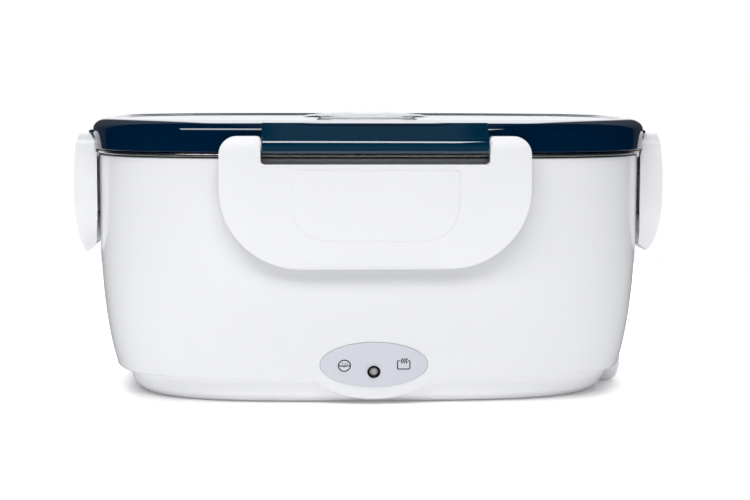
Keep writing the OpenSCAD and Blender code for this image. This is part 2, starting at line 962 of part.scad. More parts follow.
// Barrel on the lid that carries one latch, with a blind bore at each end
module hinge_barrel(gap, side) {
    length = gap - 2 * slip;
    root = -axis_out - 0.9;
    face = -axis_out + lid_out + 2;
    on_side(side) {
        along_x(length) {
            circle(barrel_r, $fn = 48);
            polygon([
                [root, lid_z - axis_z + 0.1], [face, lid_z - axis_z + 0.4], [face, 4.6],
                [face - 0.9, 5.8], [root, 7]
            ]);
        }
    }
}

module hinge_bores(gap, side) {
    on_side(side)
        for (x = [-1, 1])
            translate([x * (gap / 2 - stub_len / 2), 0, 0])
                rotate([0, 90, 0])
                    cylinder(r = stub_r + pin_clear, h = stub_len + 2 * slip, center = true, $fn = 40);
}

module lid() {
    curve = [
        for (t = [15 : 15 : 90])
            [-lid_out + lid_curve_w * (1 - cos(t)), lid_curve_z + lid_curve_h * sin(t)]
    ];
    levels = concat(
        [
            [plug_in + 4, ceiling_z],
            [plug_in + 1.8, ceiling_z - 1.5],
            [plug_in + 1.8, rim_z - 1],
            [plug_in, rim_z - 1],
            [plug_in, lid_z + groove_h],
            [1, lid_z + groove_h],
            [1, lid_z],
            [-lid_out + 0.4, lid_z],
            [-lid_out, lid_z + 0.4],
            [-lid_out, lid_curve_z]
        ],
        curve,
        [
            [crest_in + crest_w, crest_z],
            [crest_in + crest_w + 0.7, recess_z]
        ]
    );
    color("#012d46")
        difference() {
            union() {
                skin(levels);
                for (side = [0, 2])
                    hinge_barrel(latch_gap, side);
                for (side = [1, 3])
                    hinge_barrel(end_latch_gap, side);
                vent_crescent();
            }
            for (side = [0, 2])
                hinge_bores(latch_gap, side);
            for (side = [1, 3])
                hinge_bores(end_latch_gap, side);
            post(vent_hole_d, ceiling_z - over, recess_z + over, 48);
        }
}

// Raised crescent behind the vent, highest in its middle
module vent_crescent() {
    intersection() {
        rotate_extrude($fn = 96)
            polygon([
                [crescent_r - 1.6, recess_z - 0.5], [crescent_r + 1.6, recess_z - 0.5],
                [crescent_r + 0.8, recess_z + crescent_h], [crescent_r - 0.4, recess_z + crescent_h]
            ]);
        translate([0, crescent_r + 6, recess_z])
            cube([4 * crescent_r, crescent_r + 12, 8], center = true);
    }
}

module lid_seal() {
    low = tray_top_z + 0.2;
    high = lid_z + groove_h - 0.2;
    color("gainsboro")
        skin(
            [
                [seal_in, lid_z], [seal_in, high], [plug_in - 0.6, high],
                [plug_in - 0.6, low + 1], [plug_in - 1.8, low], [seal_in + 1, low]
            ],
            count = coarse, ring = true
        );
}

module vent_seat() {
    bore = vent_stem_d / 2 + 0.3;
    stem = vent_hole_d / 2 - 0.2;
    r = vent_seat_d / 2;
    top = recess_z + vent_seat_t;
    color("aliceblue")
        rotate_extrude($fn = 72)
            polygon([
                [bore, ceiling_z - 2.6], [stem - 0.6, ceiling_z - 2.6], [stem, ceiling_z - 2],
                [stem, recess_z + 0.1], [r, recess_z + 0.1], [r, top - 0.4], [r - 0.4, top], [bore, top]
            ]);
}

module vent_washer() {
    color("gainsboro")
        rotate_extrude($fn = 48)
            polygon([
                [vent_hole_d / 2, ceiling_z - 1.4], [vent_hole_d / 2 + 3, ceiling_z - 1.4],
                [vent_hole_d / 2 + 3, ceiling_z - 0.3], [vent_hole_d / 2, ceiling_z - 0.3]
            ]);
}

module vent_cap() {
    r = vent_dome_d / 2;
    low = recess_z + vent_seat_t + 0.2;
    top = recess_z + vent_seat_t + vent_dome_h;
    stem = vent_stem_d / 2;
    color("lavender")
        rotate_extrude($fn = 72)
            polygon([
                [0, ceiling_z - 3.4], [stem - 0.8, ceiling_z - 3.4], [stem, ceiling_z - 2.4],
                [stem, low], [r, low], [r, low + 0.3], [r * 0.86, low + 0.52 * vent_dome_h],
                [r * 0.68, top - 0.28], [r * 0.64, top - 0.36], [r * 0.4, top], [0, top]
            ]);
}

// ---------------------------------------------------------------- latches

// How far the flap's outer face stands out at height z, measured from the axis
function flap_face(z) = latch_bulge - pow(z + 16, 2) / (2 * bulge_r);

// End view of a solid latch whose outer face is moved out by grow
function latch_side(grow) = let (
    low_r = 3.2,
    low = -latch_drop + low_r,
    inner = latch_clear - axis_out
) concat(
    arc(0, 0, ear_r, 180, 45, 10),
    [for (k = [1 : 9]) [flap_face(low * k / 9) + grow, low * k / 9]],
    arc(flap_face(low) + grow - low_r, low, low_r, -20, -90, 6),
    [[inner + 1.4, -latch_drop], [inner, -latch_drop + 1.4], [inner, -flap_top - 0.3], [-ear_r, -flap_top + 1.7]]
);

// Front view of a latch with its ears
function latch_front(w, gap) = concat(
    [[gap / 2, ear_r]],
    arc(w / 2 - ear_corner_r, ear_r - ear_corner_r, ear_corner_r, 90, 0, 8),
    arc(w / 2 - flap_r, flap_r - latch_drop, flap_r, 0, -90, 16),
    arc(flap_r - w / 2, flap_r - latch_drop, flap_r, -90, -180, 16),
    arc(ear_corner_r - w / 2, ear_r - ear_corner_r, ear_corner_r, 180, 90, 8),
    [[-gap / 2, ear_r], [-gap / 2, -flap_top], [gap / 2, -flap_top]]
);

// Front view of the hollow inside a latch
function latch_hollow(w) = let (
    half = w / 2 - flap_t,
    r = flap_r - flap_t,
    low = flap_t - latch_drop
) concat(
    [[half, -flap_top - flap_t]],
    arc(half - r, low + r, r, 0, -90, 12),
    arc(r - half, low + r, r, -90, -180, 12),
    [[-half, -flap_top - flap_t]]
);

module latch(w, gap) {
    pad_w = w * 0.54;
    pad_r = 13;
    color("white")
        union() {
            difference() {
                intersection() {
                    along_x(w + 2)
                        polygon(latch_side(0));
                    along_y(20)
                        polygon(latch_front(w, gap));
                }
                intersection() {
                    along_x(w + 2)
                        polygon(concat(
                            [for (k = [1 : 9]) [flap_face(-latch_drop * k / 9) - flap_t, -latch_drop * k / 9]],
                            [[-20, -latch_drop], [-20, -latch_drop / 9]]
                        ));
                    along_y(20)
                        polygon(latch_hollow(w));
                }
            }
            intersection() {
                along_x(w)
                    polygon(concat(
                        [for (k = [1 : 9]) [flap_face(-latch_drop * k / 9) + 0.4, -latch_drop * k / 9]],
                        [for (k = [9 : -1 : 1]) [flap_face(-latch_drop * k / 9) - 1, -latch_drop * k / 9]]
                    ));
                along_y(20)
                    polygon(concat(
                        [[pad_w / 2, -flap_top - 2]],
                        arc(pad_w / 2 - pad_r, -35.5 + pad_r, pad_r, 0, -90, 8),
                        arc(pad_r - pad_w / 2, -35.5 + pad_r, pad_r, -90, -180, 8),
                        [[-pad_w / 2, -flap_top - 2]]
                    ));
            }
            for (x = [-1, 1])
                translate([x * (gap / 2 - stub_len / 2 + 0.5), 0, 0])
                    rotate([0, 90, 0])
                        cylinder(r = stub_r, h = stub_len + 1, center = true, $fn = 40);
            catch_bead(gap);
        }
}

// Bead inside the flap that bears against the case's catch rib
module catch_bead(gap) {
    bead_z = -catch_drop - axis_up;
    tip = latch_clear - axis_out;
    length = gap - 30;
    along_x(length)
        polygon([
            [flap_face(bead_z) - 1, bead_z - 5], [tip + 0.6, bead_z - 4], [tip, bead_z - 3.2],
            [tip, bead_z - 2.6], [flap_face(bead_z) - 1, bead_z - 1]
        ]);
}

module front_latch() {
    on_side(0)
        latch(latch_w, latch_gap);
}

module right_latch() {
    on_side(1)
        latch(end_latch_w, end_latch_gap);
}

module rear_latch() {
    on_side(2)
        latch(latch_w, latch_gap);
}

module left_latch() {
    on_side(3)
        latch(end_latch_w, end_latch_gap);
}

outer_shell();
inner_liner();
base_cover();
base_screws();
rubber_feet();
heating_plate();
ptc_heater();
heater_clamp();
heater_screws();
thermostat();
thermal_fuse();
fuse_clip();
live_wire();
neutral_wire();
fuse_wires();
led_wires();
control_panel();
led_bezel();
led_lamp();
led_board();
inlet_socket();
inlet_pins();
food_tray();
side_box();
side_box_lid();
lid();
lid_seal();
vent_seat();
vent_washer();
vent_cap();
front_latch();
rear_latch();
left_latch();
right_latch();
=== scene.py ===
# %% [markdown]
# # A heated lunch box, dressed for its photograph
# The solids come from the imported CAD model. This lesson keeps its inner parts, gives each one a
# finish, and models the outer parts again with the smooth curves and small radii that a moulded
# lunch box has. Every object stands in the CAD model's own frame, in metres. Drawings are in
# millimetres, which MM turns into metres.

# %% Load the frame
import math
import bmesh
import bpy
from mathutils import Matrix, Vector


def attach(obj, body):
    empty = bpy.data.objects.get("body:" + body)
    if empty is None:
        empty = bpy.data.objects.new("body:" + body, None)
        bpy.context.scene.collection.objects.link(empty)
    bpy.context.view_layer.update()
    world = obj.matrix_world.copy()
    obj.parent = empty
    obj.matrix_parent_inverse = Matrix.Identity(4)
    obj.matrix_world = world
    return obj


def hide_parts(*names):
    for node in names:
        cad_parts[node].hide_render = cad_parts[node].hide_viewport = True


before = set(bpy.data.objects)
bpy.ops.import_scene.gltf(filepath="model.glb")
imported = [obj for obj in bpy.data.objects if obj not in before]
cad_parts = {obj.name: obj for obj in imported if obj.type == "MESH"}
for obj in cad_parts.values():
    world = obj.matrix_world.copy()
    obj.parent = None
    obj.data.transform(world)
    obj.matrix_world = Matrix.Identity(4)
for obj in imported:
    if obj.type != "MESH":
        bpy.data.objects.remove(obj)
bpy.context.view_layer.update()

MM = 0.001

# %% [markdown]
# ## The camera
# The photograph was taken from about three quarters of a metre, a little above the lid, and
# slightly from the left. A camera can be placed by eye, but a fit to the box's corners gives
# its distance too: with an 85 mm lens and a small downward pitch, near and far edges both fall
# where they should.

# %% Place the camera
camera_data = bpy.data.cameras.new("camera")
camera_data.sensor_width = 36
camera_data.lens = 85
camera = bpy.data.objects.new("camera", camera_data)
bpy.context.scene.collection.objects.link(camera)
EYE, PITCH_DOWN, ROLL, TURN = (-28.9, -735.8, 123.4), 5.477, -0.114, -2.516
camera.location = [c * MM for c in EYE]
camera.rotation_euler = [math.radians(angle) for angle in (90 - PITCH_DOWN, ROLL, TURN)]
bpy.context.scene.camera = camera
print("camera looks from", tuple(round(v, 3) for v in camera.location))

# %% [markdown]
# ## The studio
# Product photographs of this kind are lit with a large softbox above the front and a white sweep
# behind. The sweep could be a bent sheet with lights on it. Here the world shader stands in for
# it and for the dark room behind the camera, because both are only ever seen in the gloss, and
# a shader makes no shadow. The floor is a pale disc, so it needs no visible edge.

# %% Short ways to add nodes
def add_node(tree, kind, inputs=None, **settings):
    """A new node with its settings; each input takes a value or another node's output."""
    node = tree.nodes.new(kind)
    for key, value in settings.items():
        setattr(node, key, value)
    for socket, value in (inputs or {}).items():
        if isinstance(value, bpy.types.NodeSocket):
            tree.links.new(value, node.inputs[socket])
        else:
            node.inputs[socket].default_value = value
    return node


def calculate(tree, operation, *values):
    """The result of a Math node on one to three values."""
    node = add_node(tree, "ShaderNodeMath", dict(enumerate(values)), operation=operation)
    return node.outputs[0]


def map_range(tree, value, limits, **settings):
    """Turns the range limits[0] to limits[1] of a value into limits[2] to limits[3]."""
    named = dict(zip(("From Min", "From Max", "To Min", "To Max"), limits))
    node = add_node(tree, "ShaderNodeMapRange", {"Value": value, **named}, **settings)
    return node.outputs["Result"]


# %% Floor
# The open floor's glow, then the lower glow of the painted shadow under the box and its half sizes
# in metres.
FLOOR_GLOW, PAINTED_SHADOW_GLOW, PAINTED_SHADOW_HALF = 0.45, 0.1, (0.1, 0.066)
bpy.ops.object.select_all(action="DESELECT")
bpy.ops.mesh.primitive_circle_add(
    vertices=96, radius=0.5, fill_type="NGON", location=(0, 0, 0)
)
floor = bpy.context.object
floor.name = "floor"

# The sweep is white to the eye, but to the box's gloss it shows near black: a painted dark
# reflection.
floor_paint = bpy.data.materials.new("floor_paint")
floor_paint.use_nodes = True
floor_tree = floor_paint.node_tree
paint = floor_tree.nodes["Principled BSDF"]
for socket, value in (("Base Color", (0.9, 0.9, 0.9, 1)), ("Roughness", 0.9),
                      ("Specular IOR Level", 0.1), ("Emission Color", (1, 1, 1, 1))):
    paint.inputs[socket].default_value = value
# Painted dark reflection: the floor's colour as the box's gloss sees it.
painted_dark_reflection = add_node(floor_tree, "ShaderNodeBsdfDiffuse", {"Color": (0.06, 0.065, 0.07, 1)})
which_ray = add_node(floor_tree, "ShaderNodeLightPath")
paint_or_painted_reflection = add_node(floor_tree, "ShaderNodeMixShader", {
    0: which_ray.outputs["Is Glossy Ray"], 1: paint.outputs[0], 2: painted_dark_reflection.outputs[0],
})
floor_output = floor_tree.nodes["Material Output"]
floor_tree.links.new(paint_or_painted_reflection.outputs[0], floor_output.inputs["Surface"])

# The glow that makes the sweep white is turned down under the box: a painted shadow, laid over the
# shade that the box casts there.
on_floor = add_node(floor_tree, "ShaderNodeTexCoord").outputs["Object"]
floor_axes = add_node(floor_tree, "ShaderNodeSeparateXYZ", {0: on_floor})
shares = []
for axis, half in zip("XY", PAINTED_SHADOW_HALF):
    share = calculate(floor_tree, "DIVIDE", floor_axes.outputs[axis], half)
    for _ in range(2):
        share = calculate(floor_tree, "MULTIPLY", share, share)
    shares.append(share)
spread = calculate(floor_tree, "ADD", *shares)
glow = map_range(floor_tree, spread, (0.9, 1.4, PAINTED_SHADOW_GLOW, FLOOR_GLOW))
floor_tree.links.new(glow, paint.inputs["Emission Strength"])
floor.data.materials.append(floor_paint)
print("floor glow", FLOOR_GLOW, "and under the box", PAINTED_SHADOW_GLOW)

# %% White sweep, as the gloss mirrors it
SWEEP_MIDDLE, SWEEP_CLIMB = 0.035, 6.0
world = bpy.data.worlds.new("studio")
bpy.context.scene.world = world
world.use_nodes = True
sky = world.node_tree
sky.nodes.clear()

# The direction that a ray leaves in: y grows toward the white sweep behind the box.
direction = add_node(sky, "ShaderNodeTexCoord").outputs["Generated"]
axes = add_node(sky, "ShaderNodeSeparateXYZ", {0: direction})
across, along, height = (axes.outputs[axis] for axis in "XYZ")
sweep = map_range(sky, along, (0.5, 0.6, 0.01, 1.0), interpolation_type="SMOOTHSTEP")

# Toward its two ends the sweep is less bright.
sideways = calculate(sky, "ABSOLUTE", calculate(sky, "SUBTRACT", across, SWEEP_MIDDLE))
ends = map_range(sky, sideways, (0.15, 0.2, 1.0, 0.05), interpolation_type="SMOOTHSTEP")

# Higher up it is brighter, which keeps the lid's curved edge as light as its top.
climb = calculate(sky, "MULTIPLY", height, height)
height_light = calculate(sky, "MULTIPLY_ADD", climb, SWEEP_CLIMB, 1.0)
across_light = calculate(sky, "MULTIPLY", sweep, ends)
sweep_light = calculate(sky, "MULTIPLY", across_light, height_light)

# %% Soft light for the matt surfaces, and plain white for the eye
fill = map_range(sky, across, (-1.0, 1.0, 0.16, 0.21))
mirrored, soft, seen = (
    add_node(sky, "ShaderNodeBackground", {"Color": colour, "Strength": strength}).outputs[0]
    for colour, strength in (
        ((0.96, 0.97, 1.0, 1), sweep_light), ((0.97, 0.98, 1.0, 1), fill), ((1, 1, 1, 1), 1.0)
    )
)
rays = add_node(sky, "ShaderNodeLightPath")
glossy_or_soft = add_node(sky, "ShaderNodeMixShader", {
    0: rays.outputs["Is Glossy Ray"], 1: soft, 2: mirrored,
})
whole_sky = add_node(sky, "ShaderNodeMixShader", {
    0: rays.outputs["Is Camera Ray"], 1: glossy_or_soft.outputs[0], 2: seen,
})
add_node(sky, "ShaderNodeOutputWorld", {"Surface": whole_sky.outputs[0]})
bpy.context.scene.view_settings.view_transform = "Standard"
print("sky of", len(sky.nodes), "nodes")


# %% Softboxes
def softbox(name, place, aim, width, height, power, colour=(1, 1, 1)):
    """A rectangular light of a given size that faces a point."""
    data = bpy.data.lights.new(name, "AREA")
    data.shape = "RECTANGLE"
    data.size, data.size_y = width, height
    data.energy = power
    data.color = colour
    light = bpy.data.objects.new(name, data)
    bpy.context.scene.collection.objects.link(light)
    light.location = place
    light.rotation_euler = (Vector(aim) - Vector(place)).to_track_quat("-Z", "Y").to_euler()
    light.visible_camera = False
    return light


softbox("front_softbox", (-0.20, -0.93, 0.95), (0, -0.06, 0.08), 1.19, 0.46, 10.4)
back_softbox = softbox("back_softbox", (0, 0.70, 0.95), (0, 0, 0.1), 1.6, 0.65, 16)
back_softbox.visible_glossy = False

# %% [markdown]
# ## Finishes
# Every finish is a Principled shader with noise on the object's own coordinates: a coarse noise
# makes the gloss uneven, as moulding and handling do, and a fine one gives the surface its
# texture. Pictures of surfaces would do as well, but noise needs no file, has no seam and keeps
# its scale on every piece. Values that are the same all over stay on the shader itself.


# %% A finish with mottled gloss and fine relief
RELIEF_DEPTH = 0.0004


def finish(name, colour, rough, metallic=0.0, coarse=60, fine=900, relief=0.02,
           stretch=(1, 1, 1), shade=0.03, **settings):
    """A finish whose roughness moves between two values and whose tone varies by shade."""
    material = bpy.data.materials.new(name)
    material.use_nodes = True
    tree = material.node_tree
    shader = tree.nodes["Principled BSDF"]
    shader.inputs["Metallic"].default_value = metallic
    for socket, value in settings.items():
        shader.inputs[socket.replace("_", " ")].default_value = value

    place = add_node(tree, "ShaderNodeTexCoord").outputs["Object"]
    mapping = add_node(tree, "ShaderNodeMapping", {"Vector": place, "Scale": stretch})
    mottle, grain = (
        add_node(tree, "ShaderNodeTexNoise", {
            "Vector": mapping.outputs["Vector"], "Scale": scale, "Detail": detail,
        }).outputs["Fac"]
        for scale, detail in ((coarse, 3), (fine, 4))
    )
    gloss = map_range(tree, mottle, (0.3, 0.7, *rough))
    tree.links.new(gloss, shader.inputs["Roughness"])

    tone = add_node(tree, "ShaderNodeMix", {
        0: mottle,
        6: (*[c * (1 - shade) for c in colour], 1),
        7: (*[min(1, c * (1 + shade)) for c in colour], 1),
    }, data_type="RGBA")
    tree.links.new(tone.outputs[2], shader.inputs["Base Color"])

    bump = add_node(tree, "ShaderNodeBump", {
        "Strength": relief, "Distance": RELIEF_DEPTH, "Height": grain,
    })
    tree.links.new(bump.outputs["Normal"], shader.inputs["Normal"])
    return material


# %% The finishes of this lunch box
# The CAD nodes come with plain materials, which give way to these.
for plain in list(bpy.data.materials):
    if plain != floor_paint:
        bpy.data.materials.remove(plain)
case_white = finish("case_white", (0.835, 0.84, 0.862), (0.15, 0.17), fine=500, relief=0.012,
                    shade=0.005)
latch_white = finish("latch_white", (0.86, 0.865, 0.885), (0.285, 0.31), fine=1100, relief=0.03,
                     shade=0.005)
# The base band's white is lighter than the case's: painted light, making up for the shade under the
# case's ledge.
base_white = finish("base_white", (0.94, 0.945, 0.965), (0.29, 0.36), fine=900, relief=0.03,
                    shade=0.01)
lid_blue = finish("lid_blue", (0.0, 0.0115, 0.036), (0.04, 0.055), fine=300, relief=0.005,
                  shade=0.03, Specular_IOR_Level=0.6, Coat_Weight=0.5,
                  Coat_Roughness=0.03)
# The barrels' blue is a lighter copy of the lid's: painted light, so the block and barrels read
# brighter than the lid's wall.
barrel_blue = finish("barrel_blue", (0.0, 0.026, 0.058), (0.05, 0.07), fine=300, relief=0.005,
                     shade=0.03, Specular_IOR_Level=0.8, Coat_Weight=1.0, Coat_Roughness=0.03)
tray_steel = finish("tray_steel", (0.62, 0.6, 0.58), (0.16, 0.26), metallic=1.0, coarse=40,
                    fine=700, relief=0.06, stretch=(1, 1, 14), shade=0.05)
liner_grey = finish("liner_grey", (0.42, 0.43, 0.45), (0.35, 0.5), fine=900, relief=0.06)
vent_clear = finish("vent_clear", (0.9, 0.93, 0.96), (0.08, 0.14), fine=500, relief=0.01,
                    shade=0.01, Transmission_Weight=0.3, IOR=1.49)
vent_frosted = finish("vent_frosted", (0.6, 0.61, 0.64), (0.3, 0.42), fine=1400, relief=0.02,
                      shade=0.01, Transmission_Weight=0.2, IOR=1.46)
seal_silicone = finish("seal_silicone", (0.6, 0.61, 0.62), (0.5, 0.62), fine=1200, relief=0.05,
                       Subsurface_Weight=0.1)
panel_grey = finish("panel_grey", (0.66, 0.675, 0.735), (0.3, 0.36), fine=2600, relief=0.12,
                    shade=0.012)
panel_ink = finish("panel_ink", (0.012, 0.013, 0.017), (0.5, 0.6), fine=2600, relief=0.05)
bezel_black = finish("bezel_black", (0.008, 0.008, 0.01), (0.18, 0.26), fine=900, relief=0.03)
lamp_grey = finish("lamp_grey", (0.42, 0.42, 0.44), (0.4, 0.5), fine=1200, relief=0.05,
                   Transmission_Weight=0.15)
socket_grey = finish("socket_grey", (0.13, 0.135, 0.15), (0.35, 0.5), fine=900, relief=0.08)
pin_metal = finish("pin_metal", (0.78, 0.76, 0.72), (0.14, 0.24), metallic=1.0, fine=800)
screw_steel = finish("screw_steel", (0.55, 0.55, 0.56), (0.28, 0.38), metallic=1.0, fine=800,
                     relief=0.06)
plate_aluminium = finish("plate_aluminium", (0.72, 0.73, 0.74), (0.3, 0.42), metallic=1.0,
                         fine=600, relief=0.2, stretch=(1, 9, 1))
clamp_steel = finish("clamp_steel", (0.5, 0.5, 0.5), (0.28, 0.38), metallic=1.0, fine=500,
                     relief=0.1, stretch=(1, 8, 1))
heater_film = finish("heater_film", (0.42, 0.25, 0.09), (0.2, 0.27), fine=400, relief=0.12,
                     shade=0.08)
thermostat_black = finish("thermostat_black", (0.02, 0.02, 0.022), (0.3, 0.45), relief=0.08)
fuse_brass = finish("fuse_brass", (0.7, 0.56, 0.3), (0.2, 0.27), metallic=1.0, relief=0.05)
board_green = finish("board_green", (0.015, 0.12, 0.05), (0.28, 0.38), relief=0.1, shade=0.1)
foot_rubber = finish("foot_rubber", (0.03, 0.03, 0.032), (0.65, 0.8), fine=1600, relief=0.25)
box_white = finish("box_white", (0.78, 0.78, 0.79), (0.28, 0.38), fine=900, relief=0.05)
box_lid_white = finish("box_lid_white", (0.8, 0.82, 0.86), (0.2, 0.27), fine=700, relief=0.03,
                       Transmission_Weight=0.2)
wire_red = finish("wire_red", (0.5, 0.03, 0.02), (0.4, 0.5), relief=0.08)
wire_blue = finish("wire_blue", (0.02, 0.07, 0.42), (0.4, 0.5), relief=0.08)
wire_grey = finish("wire_grey", (0.25, 0.25, 0.26), (0.4, 0.5), relief=0.08)
FINISHES = {m.name: m for m in bpy.data.materials if m.name != "floor_paint"}
print(len(FINISHES), "finishes")

# %% [markdown]
# ## Inner parts keep their CAD meshes
# The heater, the wiring, the screws and the feet have the right shape already, so they aren't
# modelled twice. Each takes the finish that the record names for it. The outer nodes get theirs
# too, although a fuller piece stands in for each of them further down.

# %% Dress the CAD nodes
SLOT_OF = {
    "outer_shell": "case_white", "inner_liner": "liner_grey", "base_cover": "base_white",
    "base_screws": "screw_steel", "rubber_feet": "foot_rubber",
    "heating_plate": "plate_aluminium", "ptc_heater": "heater_film",
    "heater_clamp": "clamp_steel", "heater_screws": "screw_steel",
    "thermostat": "thermostat_black", "thermal_fuse": "fuse_brass", "fuse_clip": "clamp_steel",
    "live_wire": "wire_red", "neutral_wire": "wire_blue", "fuse_wires": "wire_red",
    "led_wires": "wire_grey", "control_panel": "panel_grey", "led_bezel": "bezel_black",
    "led_lamp": "lamp_grey", "led_board": "board_green", "inlet_socket": "socket_grey",
    "inlet_pins": "pin_metal", "food_tray": "tray_steel", "side_box": "box_white",
    "side_box_lid": "box_lid_white", "lid": "lid_blue", "lid_seal": "seal_silicone",
    "vent_seat": "vent_clear", "vent_washer": "seal_silicone", "vent_cap": "vent_frosted",
    "front_latch": "latch_white", "rear_latch": "latch_white", "left_latch": "latch_white",
    "right_latch": "latch_white",
}
for name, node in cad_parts.items():
    node.data.materials.clear()
    node.data.materials.append(FINISHES[SLOT_OF[name]])
print("dressed", len(SLOT_OF), "CAD nodes")

# %% [markdown]
# ## One outline for the whole box
# Seen from above, the case, the tray and the lid share one outline: a superellipse, squarer
# than an ellipse and softer than a rounded rectangle. Straight lines with arcs would show a
# break in the gloss where they meet. The outline's points stand closer together in the corners,
# where a mirror finish would show flats.

# %% The shared outline
HALF_LEN, HALF_DEP, POWER = 108.4, 78.4, 3.5
# So many millimetres of length count as much as a turn of one radian.
TURN_WEIGHT = 55


def plan_outline(count, steps=7200):
    """Points of the outline with half sizes of 1, closer together where it turns."""
    dense = []
    for k in range(steps):
        t = 2 * math.pi * k / steps
        c, s = math.cos(t), math.sin(t)
        dense.append([math.copysign(abs(v) ** (2 / POWER), v) for v in (c, s)])
    lengths = [0.0]
    last = None
    for k in range(steps):
        (x0, y0), (x1, y1) = dense[k], dense[(k + 1) % steps]
        dx, dy = (x1 - x0) * HALF_LEN, (y1 - y0) * HALF_DEP
        heading = math.atan2(dy, dx)
        turn = 0
        if last is not None:
            turn = abs((heading - last + math.pi) % (2 * math.pi) - math.pi)
        last = heading
        lengths.append(lengths[-1] + math.hypot(dx, dy) + TURN_WEIGHT * turn)
    points, k = [], 0
    for i in range(count):
        goal = lengths[-1] * i / count
        while lengths[k + 1] <= goal:
            k += 1
        part = (goal - lengths[k]) / (lengths[k + 1] - lengths[k])
        (x0, y0), (x1, y1) = dense[k], dense[(k + 1) % steps]
        points.append((x0 + (x1 - x0) * part, y0 + (y1 - y0) * part))
    return points


OUTLINE = plan_outline(240)
print("outline of", len(OUTLINE), "points")

# %% [markdown]
# ## Shells grow level by level
# A case, tray or lid is drawn as a side view: a list of levels, each with how far it stands in
# from the rim outline and its height. A box with bevels would keep the same corner from foot to
# rim. Instead a circle takes the outline's shape, then each level is one extrude, one move and
# one scale, as it would be by hand.


# %% Select, and start a mesh from an outline
def pick(*pieces):
    """Selects these pieces alone; the first is the active one."""
    bpy.ops.object.select_all(action="DESELECT")
    for piece in pieces:
        piece.select_set(True)
    bpy.context.view_layer.objects.active = pieces[0]


def edit_all():
    """Goes into edit mode with everything selected."""
    bpy.ops.object.mode_set(mode="EDIT")
    bpy.ops.mesh.select_all(action="SELECT")


def start_outline(name, points, filled=True):
    """A mesh whose single loop, open or filled, passes through the given points in millimetres."""
    bpy.ops.object.select_all(action="DESELECT")
    bpy.ops.mesh.primitive_circle_add(
        vertices=len(points), radius=0.01, location=(0, 0, 0),
        fill_type="NGON" if filled else "NOTHING",
    )
    piece = bpy.context.object
    piece.name = piece.data.name = name
    for vertex, point in zip(piece.data.vertices, points):
        vertex.co = Vector(point) * MM
    return piece


# Points closer together than this, in metres, are one point.
MERGE = 0.000004


def close_mesh():
    """Ends an edit: merges the seam, turns the faces outward and goes back to object mode."""
    bpy.ops.mesh.select_all(action="SELECT")
    bpy.ops.mesh.remove_doubles(threshold=MERGE)
    bpy.ops.mesh.normals_make_consistent(inside=False)
    bpy.ops.object.mode_set(mode="OBJECT")


# %% Grow a shell from its levels
def grow_shell(name, levels, a=HALF_LEN, b=HALF_DEP, x=0.0, ring=False):
    """A shell of half sizes a and b round x; as a ring, its last level closes on its first."""
    inset, z = levels[0]
    piece = start_outline(
        name, [(x + (a - inset) * u, (b - inset) * v, z) for u, v in OUTLINE], filled=not ring
    )
    edit_all()
    path = levels + levels[:1] if ring else levels
    for (inset0, z0), (inset1, z1) in zip(path, path[1:]):
        bpy.ops.mesh.extrude_region_move(TRANSFORM_OT_translate={"value": (0, 0, (z1 - z0) * MM)})
        bpy.ops.transform.resize(
            value=((a - inset1) / (a - inset0), (b - inset1) / (b - inset0), 1),
            center_override=(x * MM, 0, z1 * MM),
        )
    close_mesh()
    return piece


def bend_in(centre, radius, start, end, steps):
    """Levels of a rounded edge: centre is (inset, height), angles in degrees, 0 is outward."""
    angles = [math.radians(start + (end - start) * k / steps) for k in range(steps + 1)]
    return [
        (centre[0] - radius[0] * math.cos(t), centre[1] + radius[1] * math.sin(t))
        for t in angles
    ]


# %% Bevel, cut and finish a piece
def apply_modifier(piece, kind, **settings):
    pick(piece)
    bpy.ops.object.modifier_add(type=kind)
    modifier = piece.modifiers[-1]
    for key, value in settings.items():
        setattr(modifier, key, value)
    bpy.ops.object.modifier_apply(modifier=modifier.name)


def soften(piece, width, segments=3, angle=40):
    """Rounds the sharp edges by a bevel of that width in millimetres."""
    apply_modifier(piece, "BEVEL", width=width * MM, segments=segments, limit_method="ANGLE",
                   angle_limit=math.radians(angle), harden_normals=False)


def carve(piece, tool, operation="DIFFERENCE"):
    apply_modifier(piece, "BOOLEAN", object=tool, operation=operation, solver="EXACT")
    bpy.data.objects.remove(tool)


def finish_piece(piece, material, body, *nodes, angle=32):
    """Smooths, paints and slots a piece, and lets it ride on its body."""
    pick(piece)
    bpy.ops.object.shade_smooth_by_angle(angle=math.radians(angle))
    piece.data.materials.clear()
    piece.data.materials.append(material)
    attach(piece, body)
    if nodes:
        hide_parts(*nodes)
    size = [round(d / MM, 1) for d in piece.dimensions]
    print(f"{piece.name}: {len(piece.data.polygons)} faces, {size} mm")
    return piece


# %% Join pieces, and draw with outlines
def join(pieces, name):
    pick(*pieces)
    bpy.ops.object.join()
    pieces[0].name = pieces[0].data.name = name
    return pieces[0]


def extrude_outline(name, points, push):
    """A filled outline in space, pushed along a vector, all in millimetres."""
    piece = start_outline(name, points)
    edit_all()
    bpy.ops.mesh.extrude_region_move(TRANSFORM_OT_translate={"value": Vector(push) * MM})
    close_mesh()
    return piece


def arc_points(x, y, r, start, end, steps):
    """Points along an arc round (x, y), from one angle to another in degrees."""
    angles = [math.radians(start + (end - start) * k / steps) for k in range(steps + 1)]
    return [(x + r * math.cos(t), y + r * math.sin(t)) for t in angles]


def circle_points(x, y, r, count):
    return arc_points(x, y, r, 0, 360, count)[:-1]


def rounded_rectangle(w, h, r, steps):
    """Points of a rectangle of that width and height whose corners have radius r."""
    points = []
    for quarter, (sx, sy) in enumerate(((1, 1), (-1, 1), (-1, -1), (1, -1))):
        first = 90 * quarter
        points += arc_points(sx * (w / 2 - r), sy * (h / 2 - r), r, first, first + 90, steps)
    return points


